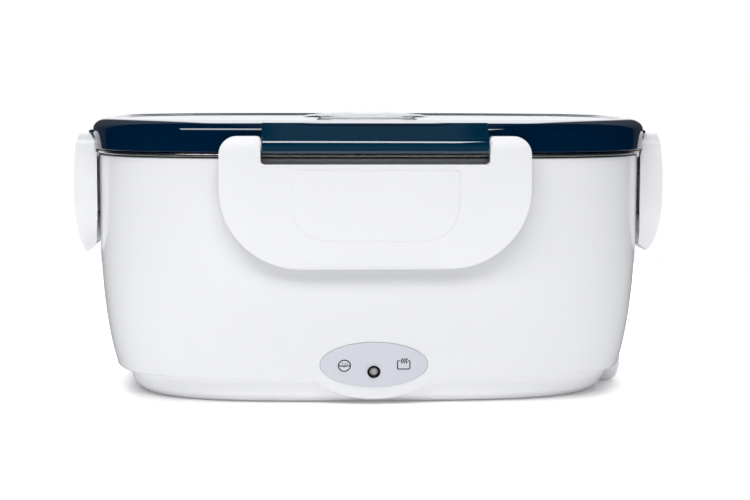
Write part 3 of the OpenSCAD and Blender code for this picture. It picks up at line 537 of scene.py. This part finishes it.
def mirrored_outline(right):
    """Closes a drawing's right half with its mirror image."""
    return right + [(-x, z) for x, z in reversed(right)]

# %% [markdown]
# ## The case
# The white case keeps almost upright at its rim and draws in faster towards its foot. At the
# front the wall runs down past its lower edge in a rounded tongue, which carries the lamp
# panel. The tongue is no separate piece on the real case, so it is pulled out of the same
# wall: the lower levels slide down along the wall's own curve, with a soft fillet either side.

# %% Case wall
RIM_Z, STEP_Z, WALL, TAPER, TAPER_BOW = 94.4, 10.0, 2.4, 6.4, 3.4
FLANGE_Z = RIM_Z - 1.4


def wall_inset(z):
    """How far the wall stands in from the rim's outline at height z."""
    return TAPER * (max(0, RIM_Z - z) / (RIM_Z - STEP_Z)) ** TAPER_BOW


foot_in = wall_inset(STEP_Z)
outer_wall = [(wall_inset(z), z) for z in [11 + 82.8 * (k / 30) ** 0.8 for k in range(30)]]
case_levels = (
    [(25.9, 10), (17, 10), (16, 10), (foot_in + 1.6, 10)]
    + bend_in((foot_in + 0.9, 11), (0.95, 1), -90, 0, 5)
    + outer_wall[1:]
    + bend_in((0.45, RIM_Z - 0.4), (0.4, 0.4), 0, 90, 4)
    + [(0.9, RIM_Z), (1.0, RIM_Z - 0.1), (1.0, FLANGE_Z), (WALL, FLANGE_Z)]
    + [(wall_inset(z) + WALL, z) for z in (80, 64, 48, 36, 26, 18, 12.4)]
    + [(25.9, 12.4)]
)
case = grow_shell("case_shell", case_levels, ring=True)
print("case grown from", len(case_levels), "levels")

# %% Pull the tongue down
PANEL_Z, PANEL_W, PANEL_H, BOSS_W, BOSS_H = 16.25, 40.8, 17.9, 46.8, 24.0
BOSS_DROP, BOSS_LEAN, TONGUE_BLEND = 2.4, math.radians(12.2), 2.6
TONGUE_TOP, TONGUE_FULL, TONGUE_HALF, TONGUE_FRONT = 27, 11, 34, -50
FLOOR_TOP, FLOOR_EDGE = 12.5, 8.5
boss_z = PANEL_Z - BOSS_DROP * math.cos(BOSS_LEAN)


def tongue_edge(x):
    """Height of the case's lower edge at x: the boss's ellipse, blended into the straight edge."""
    inside = 1 - (x / (BOSS_W / 2)) ** 2
    low = boss_z - BOSS_H / 2 * math.cos(BOSS_LEAN) * math.sqrt(max(0, inside))
    if inside < 0:
        low += (abs(x) - BOSS_W / 2) * 3
    h = max(0, min(1, 0.5 + 0.5 * (STEP_Z - low) / TONGUE_BLEND))
    return STEP_Z * (1 - h) + low * h - TONGUE_BLEND * h * (1 - h)


for vertex in case.data.vertices:
    x, y, z = (c / MM for c in vertex.co)
    if y > TONGUE_FRONT or abs(x) > TONGUE_HALF or z > TONGUE_TOP:
        continue
    in_floor = z < FLOOR_TOP and y > -(HALF_DEP - foot_in - FLOOR_EDGE)
    if in_floor:
        continue
    share = max(0, min(1, (TONGUE_TOP - z) / (TONGUE_TOP - TONGUE_FULL)))
    share = share * share * (3 - 2 * share)
    new_z = z - (STEP_Z - tongue_edge(x)) * share
    vertex.co = (x * MM, (y + wall_inset(new_z) - wall_inset(z)) * MM, new_z * MM)
print("tongue reaches down to", round(tongue_edge(0), 2), "mm")

# %% [markdown]
# The panel sits in a shallow pocket, tilted with the wall. A frame on the panel makes placing
# easy: its Z points out of the wall and its Y up along it. The pocket is an ellipse cut by a
# boolean, a hair larger than the panel, so a fine line shows round it as on the real case.

# %% Frame on the panel
panel_tilt = math.atan(
    TAPER * TAPER_BOW / (RIM_Z - STEP_Z)
    * ((RIM_Z - PANEL_Z) / (RIM_Z - STEP_Z)) ** (TAPER_BOW - 1)
)
PANEL_FRAME = Matrix.Translation((0, -(HALF_DEP - wall_inset(PANEL_Z)) * MM, PANEL_Z * MM)) @ (
    Matrix.Rotation(math.pi / 2 + panel_tilt, 4, "X")
)


def on_panel(piece):
    """Moves a piece drawn flat round the origin onto the panel's place on the wall."""
    piece.data.transform(PANEL_FRAME)
    return piece


def ellipse(w, h, z, count=96, y=0.0):
    """Points of an upright ellipse of that width and height, at depth z in its frame."""
    angles = [2 * math.pi * k / count for k in range(count)]
    return [(w / 2 * math.cos(t), y + h / 2 * math.sin(t), z) for t in angles]


print("panel leans by", round(math.degrees(panel_tilt), 2), "degrees")

# %% Pocket for the panel
POCKET_ROOM, POCKET_DEPTH = 0.3, 0.7
pocket = extrude_outline(
    "pocket", ellipse(PANEL_W + POCKET_ROOM, PANEL_H + POCKET_ROOM, -POCKET_DEPTH), (0, 0, 4)
)
carve(case, on_panel(pocket))
print("pocket", PANEL_W + POCKET_ROOM, "mm wide")

# %% [markdown]
# The inlet's hood comes down from the wall past the base. It is a side view, pushed across and
# rounded, and joined to the case by a boolean, so that no seam shows. The room in it, for the
# inlet's socket, is a rounded rectangle cut from outside.

# %% Hood over the inlet
INLET_Z, INLET_W, INLET_H, INLET_WALL = 14.8, 26.0, 13.0, 1.8
inlet_x = HALF_LEN - wall_inset(INLET_Z + INLET_H / 2) - 1
socket_w, socket_h = INLET_W + 2 * INLET_WALL, INLET_H + 2 * INLET_WALL
hood_w = socket_w + 6.4
hood_low, hood_top = 0.3, INLET_Z + INLET_H / 2 + INLET_WALL + 2.5
hood_side = [
    (inlet_x + 1 - back, z) for back, z in
    ((12, hood_low), (4.4, hood_low), (1.9, 2.3), (0.7, 6.3), (0, hood_top), (12, hood_top))
]
hood = extrude_outline("hood", [(x, -hood_w / 2, z) for x, z in hood_side], (0, hood_w, 0))
soften(hood, 1.0, 5, 20)
carve(case, hood, "UNION")
room = extrude_outline(
    "room",
    [(80, y, INLET_Z + z) for y, z in rounded_rectangle(socket_w + 0.3, socket_h + 0.3, 3, 6)],
    (40, 0, 0),
)
carve(case, room)
finish_piece(case, case_white, "case", "outer_shell", angle=28)

# %% [markdown]
# ## Base cover
# The white band under the case stands a little inside it, so a line of shade separates the
# two. Its foot curves in towards the table. It could be a plain offset of the case, but grown
# level by level it takes that curve and stays hollow for the screws.

# %% Base band
base = grow_shell(
    "base_band",
    [(20.5, 0.65), (16.2, 0.6), (15.7, 0.66), (15.2, 0.95), (13.5, 2.5), (13.1, 2.95), (12.9, 3.4)]
    + [(12.1, 5), (11.1, 8.2), (10.4, 10), (12.4, 10), (12.9, 8.6), (15.4, 4.4), (20.5, 3.0)],
)
finish_piece(base, base_white, "case", "base_cover")

# %% [markdown]
# ## Liner and tray
# The steel tray hangs on a rolled rim, the thin bright line under the lid. A separate ring could
# make the roll, but a pressed tray is one sheet, so round levels make it, and a gentle curve
# joins floor and wall. The liner that the tray hangs in is open over the heating plate.

# %% Liner
liner = grow_shell(
    "tray_liner",
    [(23.4, 30.2), (17.9, 30.7), (13.4, 33.3), (10.6, 38.3), (9.4, 44.2), (4.8, 93.0),
     (1.1, 93.0), (1.1, 94.3), (6.2, 94.4), (10.8, 45.6), (12.0, 39.7), (14.8, 34.7),
     (19.3, 32.1), (24.8, 31.6)],
)
# The heating plate fills this opening in the liner's floor.
PLATE_HOLE_W, PLATE_HOLE_D, PLATE_HOLE_R = 98.6, 58.6, 8
opening = extrude_outline(
    "opening",
    [(x, y, 29) for x, y in rounded_rectangle(PLATE_HOLE_W, PLATE_HOLE_D, PLATE_HOLE_R, 3)],
    (0, 0, 6),
)
carve(liner, opening)
finish_piece(liner, liner_grey, "case", "inner_liner")

# %% Tray
ROLL_Z, ROLL_R, ROLL_OUT, WEB_Z = 95.6, 0.7, 1.1, 95.5
tray_side = [(26, 33.4), (22.5, 33.5), (19.4, 34.0), (16.6, 35.7), (14.6, 38.3), (13.2, 41.5),
             (12.35, 45.2), (12.0, 49)]
tray = grow_shell(
    "food_tray_steel",
    tray_side
    + [(7.6, WEB_Z - 1.4), (7.3, WEB_Z - 0.5), (6.7, WEB_Z), (1.2, WEB_Z)]
    + [(0.6, ROLL_Z - ROLL_R + 0.1)]
    + bend_in((ROLL_R - ROLL_OUT, ROLL_Z), (ROLL_R, ROLL_R), -90, 90, 12)
    + [(1.4, WEB_Z + 0.6), (7.0, WEB_Z + 0.6), (7.7, WEB_Z + 0.3), (8.1, WEB_Z - 0.6)]
    + [(i + 0.6, z + 0.5) for i, z in tray_side[:0:-1]]
    + [(26, 34.0)],
)
finish_piece(tray, tray_steel, "tray", "food_tray")

# %% [markdown]
# ## The lid
# One glossy blue moulding: an upright wall, a wide curve over its edge and a shallow recess
# inside the crest. The curve is what gives the photograph its bright band. A bevel would leave
# it to chance, so it is drawn with twenty levels of its own. Underneath are the groove for the
# seal and the plug that dips into the tray.

# %% Lid shell
LID_Z, LID_OUT, CURVE_Z, CREST_Z, RECESS_Z = 96.6, 2.0, 104.2, 108.5, 107.95
EDGE, LID_THICK = 7.0, 2.2
CEILING_Z = RECESS_Z - LID_THICK
lid = grow_shell(
    "lid_shell",
    [(12.4, CEILING_Z), (10.8, CEILING_Z - 0.5), (10.2, CEILING_Z - 1.5), (10.2, RIM_Z - 1),
     (8.4, RIM_Z - 1), (8.4, LID_Z + 2.1), (1, LID_Z + 2.1), (1, LID_Z + 0.1), (0.8, LID_Z)]
    + bend_in((-LID_OUT + 0.5, LID_Z + 0.5), (0.5, 0.5), -90, 0, 4)
    + [(-LID_OUT, LID_Z + 3), (-LID_OUT, CURVE_Z - 2)]
    + bend_in((EDGE - LID_OUT, CURVE_Z), (EDGE, CREST_Z - CURVE_Z), 0, 90, 20)
    + bend_in((EDGE - 0.7, CREST_Z - 0.3), (-0.3, 0.3), 90, 20, 4)
    + [(EDGE - 0.2, RECESS_Z + 0.1), (EDGE + 0.1, RECESS_Z), (EDGE + 2, RECESS_Z)],
)
hole = extrude_outline("hole", ellipse(10, 10, 104, 48), (0, 0, 8))
carve(lid, hole)
finish_piece(lid, lid_blue, "lid", "lid")

# %% [markdown]
# ## Hinge barrels on the lid
# Each latch hangs on a barrel that stands off the lid's wall. Front and rear barrels are one
# drawing, end barrels a shorter one. A cylinder alone would float, so a side view with a block
# is extruded along the barrel. The block slopes up into the lid's curve at the front and rear,
# and is lower at the two ends.

# %% Side placement
AXIS_OUT, AXIS_Z = 5.3, RIM_Z + 5.2
LATCH_W, LATCH_GAP, END_W, END_GAP, EAR_ROOM = 115.2, 84.6, 76.0, 50.0, 0.3
SIDES = ("front", "right", "rear", "left")


def turn_to_side(piece, side):
    """Turns a piece drawn at the front to one of the four sides, round the box's middle."""
    if side:
        pick(piece)
        edit_all()
        bpy.ops.transform.rotate(
            value=-math.pi / 2 * side, orient_axis="Z", center_override=(0, 0, 0)
        )
        bpy.ops.object.mode_set(mode="OBJECT")
    return piece


def reach(side):
    """Distance from the box's middle to the rim on that side."""
    return HALF_DEP if side % 2 == 0 else HALF_LEN


def side_point(side, x, out, up):
    """A point of a piece drawn at the front: out and up are measured from the hinge axis."""
    return (x, -(reach(side) + AXIS_OUT + out), AXIS_Z + up)


# %% Barrels
def hinge_barrel(side):
    """A block on the lid's wall and a round barrel in front of it, joined for one side."""
    if side % 2 == 0:
        gap, round_part = LATCH_GAP, circle_points(0, 0, 3.2, 48)
        block = [(-7.6, -2.9), (0, -2.7), (1.79, 2.65), (-6.4, 8.2), (-6.7, 4)]
    else:
        gap, round_part = END_GAP, circle_points(-1.2, 0, 1.9, 48)
        face = -AXIS_OUT + 3.4
        block = [(-7.6, -2.9), (face, -2.7), (face, 3.5), (face - 0.6, 4.0), (-7.6, 4.3)]
    length = gap - 2 * EAR_ROOM
    made = []
    for drawing, edge in ((block, 0.25), (round_part, 0.6)):
        part = extrude_outline(
            "barrel", [side_point(side, -length / 2, out, up) for out, up in drawing],
            (length, 0, 0),
        )
        soften(part, edge, 4, 50)
        made.append(part)
    barrel = turn_to_side(join(made, f"hinge_barrel_{SIDES[side]}"), side)
    # The barrels take the lid's blue made lighter, as painted light.
    return finish_piece(barrel, barrel_blue, "lid")


for side in range(4):
    hinge_barrel(side)

# %% [markdown]
# ## Steam vent
# A clear round seat lies in the recess, with a frosted cap on it whose dome rises in rings.
# Seat, washer and cap are turned shapes. Stacked cylinders would need a bevel on each edge,
# while a profile spun round the middle of the box holds every edge and groove at once. Two
# small tabs on the cap are there to lift it by.


# %% Spin a profile
def spun(name, profile, steps=96):
    """A profile of (radius, height) points spun round the upright axis through the box's middle."""
    bpy.ops.object.select_all(action="DESELECT")
    bpy.ops.mesh.primitive_circle_add(vertices=len(profile), radius=0.01, location=(0, 0, 0))
    piece = bpy.context.object
    piece.name = piece.data.name = name
    for vertex, (r, z) in zip(piece.data.vertices, profile):
        vertex.co = (r * MM, 0, z * MM)
    edit_all()
    bpy.ops.mesh.spin(steps=steps, angle=2 * math.pi, center=(0, 0, 0), axis=(0, 0, 1))
    close_mesh()
    return piece


# %% Seat and washer
SEAT_TOP = RECESS_Z + 0.35
seat = spun("vent_seat_clear", [
    (3.2, CEILING_Z - 2.6), (4.2, CEILING_Z - 2.6), (4.8, CEILING_Z - 2), (4.8, RECESS_Z + 0.03),
    (20, RECESS_Z + 0.03), (20, SEAT_TOP - 0.2), (19.8, SEAT_TOP - 0.05), (19.5, SEAT_TOP),
    (3.2, SEAT_TOP),
])
finish_piece(seat, vent_clear, "lid", "vent_seat")
washer = spun("vent_washer_soft", [
    (5.0, CEILING_Z - 1.2), (7.6, CEILING_Z - 1.2), (7.8, CEILING_Z - 1.0), (7.8, CEILING_Z - 0.2),
    (7.6, CEILING_Z), (5.0, CEILING_Z),
])
finish_piece(washer, seal_silicone, "lid", "vent_washer")

# %% Cap with its rings and tabs
CAP_FOOT = SEAT_TOP + 0.1
stem = [(0.001, CEILING_Z - 3.4), (2.1, CEILING_Z - 3.4), (2.9, CEILING_Z - 2.4),
        (2.9, CAP_FOOT), (16, CAP_FOOT)]
dome = [(r, SEAT_TOP + up) for r, up in (
    (16.2, 0.2), (15.9, 0.35), (14.8, 0.45), (13.2, 0.66), (12.8, 0.64), (12.5, 0.45),
    (12.2, 0.46), (12.0, 0.8), (10.9, 1.0), (9.8, 1.17), (9.5, 1.1), (9.3, 0.95), (9.0, 0.98),
    (8.9, 1.33), (7.8, 1.55), (6.4, 1.7), (4.4, 1.79), (2, 1.82), (0.001, 1.83))]
cap = spun("vent_cap_frosted", stem + dome)
tabs = []
for way in (-1, 1):
    tab = extrude_outline(
        "tab", [(way * 14, y, SEAT_TOP + 0.15) for y in (-5.4, 5.4)]
        + [(way * 20.6, y, SEAT_TOP + 0.15) for y in (4.2, -4.2)], (0, 0, 0.5)
    )
    soften(tab, 0.15, 3, 50)
    tabs.append(tab)
cap = join([cap] + tabs, "vent_cap_frosted")
finish_piece(cap, vent_frosted, "vent", "vent_cap")

# %% [markdown]
# A low blue crescent stands behind the vent. It could be cut out of a ring, but its ends fade
# into the lid, so one section is extruded along an arc, and each new section is set to its own
# size as it is pulled out.

# %% Crescent behind the vent
ARC_W, ARC_D, ARC_BACK, ARC_RISE, ARC_STEPS = 27, 12, 15, 1.75, 48
SECTION = ((-4.5, -0.3), (-3.2, 0.35), (-0.9, 0.95), (0.2, 1.0), (1.2, 0.9), (1.9, -0.3))


def crescent_section(k):
    """The six points of the crescent's section at step k of its arc."""
    t = math.radians(6 + 168 * k / ARC_STEPS)
    place = Vector((ARC_W * math.cos(t), ARC_BACK + ARC_D * math.sin(t), 0))
    rise = math.sin(math.pi * k / ARC_STEPS) ** 0.8
    points = []
    for outward, up in SECTION:
        p = place + place.normalized() * outward * (0.25 + 0.75 * rise)
        points.append((p.x, p.y, RECESS_Z + (ARC_RISE * up * rise if up > 0 else up)))
    return points


crescent = start_outline("vent_crescent", crescent_section(0))
edit_all()
for k in range(1, ARC_STEPS + 1):
    bpy.ops.mesh.extrude_region_move()
    before = [Vector(p) * MM for p in crescent_section(k - 1)]
    after = [Vector(p) * MM for p in crescent_section(k)]
    grown = bmesh.from_edit_mesh(crescent.data)
    for vertex in grown.verts:
        if vertex.select:
            nearest = min(range(6), key=lambda j: (vertex.co - before[j]).length)
            vertex.co = after[nearest]
    bmesh.update_edit_mesh(crescent.data)
close_mesh()
finish_piece(crescent, lid_blue, "lid")

# %% [markdown]
# ## Snap latches
# A latch is one white moulding: a wide flap with two ears that grip the barrel. A subdivided
# box would round its corners too far, so its front outline is filled and pushed back, then
# bisected into strips, which lets its face bow outward and its back follow the lid. A bevel
# gives the thick soft edge, and a low pad with its own soft edge lies on it.


# %% Latch outline
# The flap starts this far below the axis, between its two ears.
FLAP_TOP = 7.1
# Width, gap between the ears, corner radius, ear top, drop below the axis, and the face's bow.
WIDE_LATCH = (LATCH_W, LATCH_GAP, 30, 3.3, 46.0, 3.2, 215)
END_LATCH = (END_W, END_GAP, 20, 3.7, 45.1, 2.6, 260)


def latch_outline(w, gap, r, top, drop):
    """Front view of a latch, from the middle of its notch round to the left and back."""
    half, ear = w / 2, 6.6
    return mirrored_outline(
        arc_points(gap / 2 - 1.6, -FLAP_TOP + 1.6, 1.6, -90, 0, 4)
        + arc_points(gap / 2 + 1.5, top - 1.5, 1.5, 180, 90, 4)
        + arc_points(half - ear, top - ear, ear, 90, 0, 10)
        + arc_points(half - r, r - drop, r, 0, -90, 22)
    )


def face_out(z, top, most, flat):
    """How far the latch's face stands out of the hinge axis at height z."""
    out = most - (z + 17.5) ** 2 / flat
    if z > -4:
        out -= (out - 0.3) * ((z + 4) / (top + 4)) ** 2.8
    return out


# The finger lip: the flap's last millimetres lean out from the case.
LIP_OUT, LIP_H = 4.0, 3.4


def back_out(x, z, side, top, drop):
    """The back: close to the lid behind the ears, then down past the tray's rolled rim."""
    across = HALF_LEN if side % 2 == 0 else HALF_DEP
    sag = reach(side) * (1 - (1 - (abs(x) / across) ** POWER) ** (1 / POWER))
    ear = LID_OUT + 0.12 - AXIS_OUT - sag
    if z > 0:
        return ear * max(0, 1 - (z / top) ** (3 if side % 2 == 0 else 2)) ** 0.5
    skirt = ROLL_OUT + 0.25 - AXIS_OUT - sag
    lip = LIP_OUT * max(0, (-z - drop + LIP_H) / LIP_H)
    return ear + (skirt - ear) * max(0, min(1, (-3 - z) / 2)) + lip


# %% Bow a block between its face and its back
def bowed(name, side, outline, front, back, cuts=26, columns=12):
    """A front outline made solid between two curved surfaces, functions of place and height."""
    y0 = -(reach(side) + AXIS_OUT)
    piece = extrude_outline(
        name, [(x, y0 - 10, AXIS_Z + z) for x, z in outline], (0, 20, 0)
    )
    heights = [z for _, z in outline]
    low, high = min(heights), max(heights)
    half = max(x for x, _ in outline)
    bpy.ops.object.mode_set(mode="EDIT")
    for k in range(1, cuts):
        z = low + (high - low) * k / cuts
        bpy.ops.mesh.select_all(action="SELECT")
        bpy.ops.mesh.bisect(plane_co=(0, 0, (AXIS_Z + z + 0.013) * MM), plane_no=(0, 0, 1))
    for k in range(1, columns):
        x = half * (2 * k / columns - 1)
        bpy.ops.mesh.select_all(action="SELECT")
        bpy.ops.mesh.bisect(plane_co=((x + 0.017) * MM, 0, 0), plane_no=(1, 0, 0))
    bpy.ops.object.mode_set(mode="OBJECT")
    for vertex in piece.data.vertices:
        x, z = vertex.co.x / MM, vertex.co.z / MM - AXIS_Z
        out = front(x, z) if vertex.co.y / MM < y0 else back(x, z)
        vertex.co.y = (y0 - out) * MM
    return piece


# %% One latch
FLAP_THICK, PAD_SHARE, PAD_R, PAD_LOW, PAD_PROUD = 2.2, 0.54, 13.0, 35.5, 0.26
BEHIND, PIN_FROM, PIN_LEN = -16, 4, 5


def latch(side):
    """A hollowed flap with its pad, two stub pins and the bead that snaps it shut."""
    w, gap, corner_r, top, drop, most, flat = WIDE_LATCH if side % 2 == 0 else END_LATCH

    def face(x, z):
        return face_out(z, top, most, flat)

    def back(x, z):
        return back_out(x, z, side, top, drop)

    body = bowed("flap", side, latch_outline(w, gap, corner_r, top, drop), face, back)
    soften(body, 1.15, 5, 50)

    # The hollow keeps the flap's thickness in front and runs out through its back.
    half, r = w / 2 - FLAP_THICK, corner_r - FLAP_THICK
    hollow_outline = mirrored_outline(
        [(half, -FLAP_TOP - FLAP_THICK - 0.2)]
        + arc_points(half - r, r - drop + FLAP_THICK, r, 0, -90, 14)
    )
    hollow = bowed(
        "hollow", side, hollow_outline, lambda x, z: face(x, z) - FLAP_THICK, lambda x, z: BEHIND
    )
    carve(body, hollow)

    pad_w = PAD_SHARE * w
    pad_outline = mirrored_outline(
        [(pad_w / 2, -FLAP_TOP - 2)]
        + arc_points(pad_w / 2 - PAD_R, -PAD_LOW + PAD_R, PAD_R, 0, -90, 10)
    )
    pad = bowed(
        "pad", side, pad_outline,
        lambda x, z: face(x, z) + PAD_PROUD, lambda x, z: face(x, z) - 1,
    )
    soften(pad, 0.25, 3, 50)

    parts = [body, pad]
    pin = 1.6 if side % 2 == 0 else 0.7
    for way in (-1, 1):
        stub = extrude_outline(
            "stub",
            [side_point(side, way * (gap / 2 - PIN_FROM), out, up)
             for out, up in circle_points(0, 0, pin, 32)],
            (way * PIN_LEN, 0, 0),
        )
        soften(stub, 0.3, 2, 50)
        parts.append(stub)
    bead = extrude_outline(
        "bead",
        [side_point(side, -(gap - 30) / 2, out, up) for out, up in
         ((1.5, -34.2), (-3.5, -33.2), (-4.1, -32.4), (-4.1, -31.8), (1.5, -30.2))],
        (gap - 30, 0, 0),
    )
    soften(bead, 0.25, 2, 50)
    parts.append(bead)
    piece = turn_to_side(join(parts, f"{SIDES[side]}_latch_white"), side)
    body_name, node_name = f"latch_{SIDES[side]}", f"{SIDES[side]}_latch"
    return finish_piece(piece, latch_white, body_name, node_name, angle=34)


for side in range(4):
    latch(side)

# %% [markdown]
# ## Lamp panel
# An oval grey label plate with two small pictograms of our own: a bowl with rice and a dish
# with steam. An image could carry them, but thin raised strokes of ink hold their sharpness at
# any size. Below the middle of the plate is a hole for the lamp.

# %% Panel plate
LAMP_Y, LAMP_HOLE, PLATE_THICK = -2.85, 4.2, 0.78
panel = on_panel(
    extrude_outline("panel_plate", ellipse(PANEL_W, PANEL_H, -POCKET_DEPTH), (0, 0, PLATE_THICK))
)
soften(panel, 0.16, 3, 60)
lamp_hole = extrude_outline("lamp_hole", ellipse(LAMP_HOLE, LAMP_HOLE, -3, 48, LAMP_Y), (0, 0, 6))
carve(panel, on_panel(lamp_hole))
finish_piece(panel, panel_grey, "case", "control_panel")


# %% Ink strokes
INK_Z, INK_FLAT = 0.085, 0.16


def stroke(points, width, closed=False):
    """A flat printed line through points given in the panel's own frame, in millimetres."""
    curve = bpy.data.curves.new("stroke", "CURVE")
    curve.dimensions = "3D"
    curve.bevel_depth = width / 2 * MM
    curve.bevel_resolution = 2
    spline = curve.splines.new("POLY")
    spline.points.add(len(points) - 1)
    for p, (x, y) in zip(spline.points, points):
        p.co = (x * MM, y * MM, 0, 1)
    spline.use_cyclic_u = closed
    curve.use_fill_caps = True
    line = bpy.data.objects.new("stroke", curve)
    bpy.context.scene.collection.objects.link(line)
    pick(line)
    bpy.ops.object.convert(target="MESH")
    line = bpy.context.object
    flat = Matrix.Translation((0, 0, INK_Z * MM)) @ Matrix.Diagonal((1, 1, INK_FLAT, 1))
    line.data.transform(flat)
    return line


# %% Pictograms
bowl_x, bowl_y, dish_x, dish_y = -11.15, -0.35, 11.3, -0.35
strokes = [
    stroke(circle_points(bowl_x, bowl_y, 2.25, 40), 0.46, True),
    stroke([(bowl_x - 2.25, bowl_y - 0.1), (bowl_x + 2.25, bowl_y - 0.1)], 0.42),
    stroke(arc_points(bowl_x, bowl_y + 2.6, 2.9, -112, -68, 10), 0.34),
    stroke([(bowl_x - 0.9, bowl_y + 0.75), (bowl_x - 0.55, bowl_y + 1.15)], 0.34),
    stroke([(bowl_x + 0.1, bowl_y + 0.55), (bowl_x + 0.45, bowl_y + 0.95)], 0.34),
    stroke([(bowl_x + 0.95, bowl_y + 0.85), (bowl_x + 1.25, bowl_y + 0.5)], 0.34),
    stroke(
        [(dish_x - 1.55, dish_y + 1.9), (dish_x - 2.0, dish_y + 1.9)]
        + arc_points(dish_x - 1.95, dish_y + 1.5, 0.4, 90, 180, 4)
        + arc_points(dish_x - 1.85, dish_y - 0.95, 0.5, 180, 270, 4)
        + arc_points(dish_x + 1.85, dish_y - 0.95, 0.5, 270, 360, 4)
        + arc_points(dish_x + 1.95, dish_y + 1.5, 0.4, 0, 90, 4)
        + [(dish_x + 2.0, dish_y + 1.9), (dish_x + 1.55, dish_y + 1.9)], 0.44,
    ),
]
for k in (-1, 0, 1):
    steam = [
        (dish_x + 0.9 * k + 0.26 * math.sin(t * 4.4) + 0.12 * t, dish_y + 0.9 + 1.0 * t)
        for t in (j / 6 for j in range(13))
    ]
    strokes.append(stroke(steam, 0.44))
ink = on_panel(join(strokes, "panel_strokes"))
finish_piece(ink, panel_ink, "case")

# %% Lamp ring and lens
LENS_R = 1.6
ring = spun("lamp_ring", [
    (1.68, -3), (2.05, -3), (2.05, 0.1), (2.45, 0.1), (2.5, 0.26), (2.4, 0.42), (2.2, 0.5),
    (1.95, 0.46), (1.72, 0.3),
], 64)
lens_top = [
    (LENS_R * math.cos(math.radians(t)), -0.4 + 0.6 * math.sin(math.radians(t)))
    for t in (20, 40, 60, 80)
]
lens = spun("lamp_lens", [
    (0.001, -4), (2.0, -4), (2.0, -3.2), (LENS_R, -3.2), (LENS_R, -0.6), *lens_top, (0.001, 0.2),
], 64)
for piece, material, node in ((ring, bezel_black, "led_bezel"), (lens, lamp_grey, "led_lamp")):
    piece.data.transform(Matrix.Translation((0, LAMP_Y * MM, 0)))
    on_panel(piece)
    finish_piece(piece, material, "case", node)

# %% [markdown]
# ## Side box
# Lunch boxes of this kind hold a smaller box with its own lid for a side dish. It could be a
# plain tub, but it stands in the tray's corner curves, so it is grown like the case, on a
# smaller outline of the same family.

# %% Side box and its lid
BOX_X, BOX_A, BOX_B, BOX_LOW, BOX_RIM = 58.0, 27.0, 50.0, 34.3, 85.3
side_box = grow_shell(
    "side_box_white",
    [(8, BOX_LOW), (5.4, BOX_LOW + 0.4), (3.9, BOX_LOW + 1.8), (3.1, BOX_LOW + 4),
     (3, BOX_LOW + 6), (1.2, BOX_RIM - 5), (0.3, BOX_RIM - 4.6), (0, BOX_RIM - 4.2),
     (0, BOX_RIM - 0.3), (0.3, BOX_RIM), (1.6, BOX_RIM), (1.9, BOX_RIM - 0.4),
     (2.7, BOX_RIM - 5.4), (4.5, BOX_LOW + 6), (5.2, BOX_LOW + 3.4), (8, BOX_LOW + 1.5)],
    BOX_A, BOX_B, BOX_X,
)
finish_piece(side_box, box_white, "box", "side_box")
box_lid = grow_shell(
    "side_box_cover",
    [(0.6, BOX_RIM + 0.1), (-0.3, BOX_RIM + 0.1), (-0.3, BOX_RIM - 3.5), (-1.6, BOX_RIM - 3.6),
     (-1.7, BOX_RIM - 3.2), (-1.7, BOX_RIM + 0.9), (-1.4, BOX_RIM + 1.5), (-0.7, BOX_RIM + 1.9),
     (3, BOX_RIM + 1.9), (3.6, BOX_RIM + 1.7), (4, BOX_RIM + 1.3), (6, BOX_RIM + 1.3)],
    BOX_A, BOX_B, BOX_X,
)
finish_piece(box_lid, box_lid_white, "box_cover", "side_box_lid")
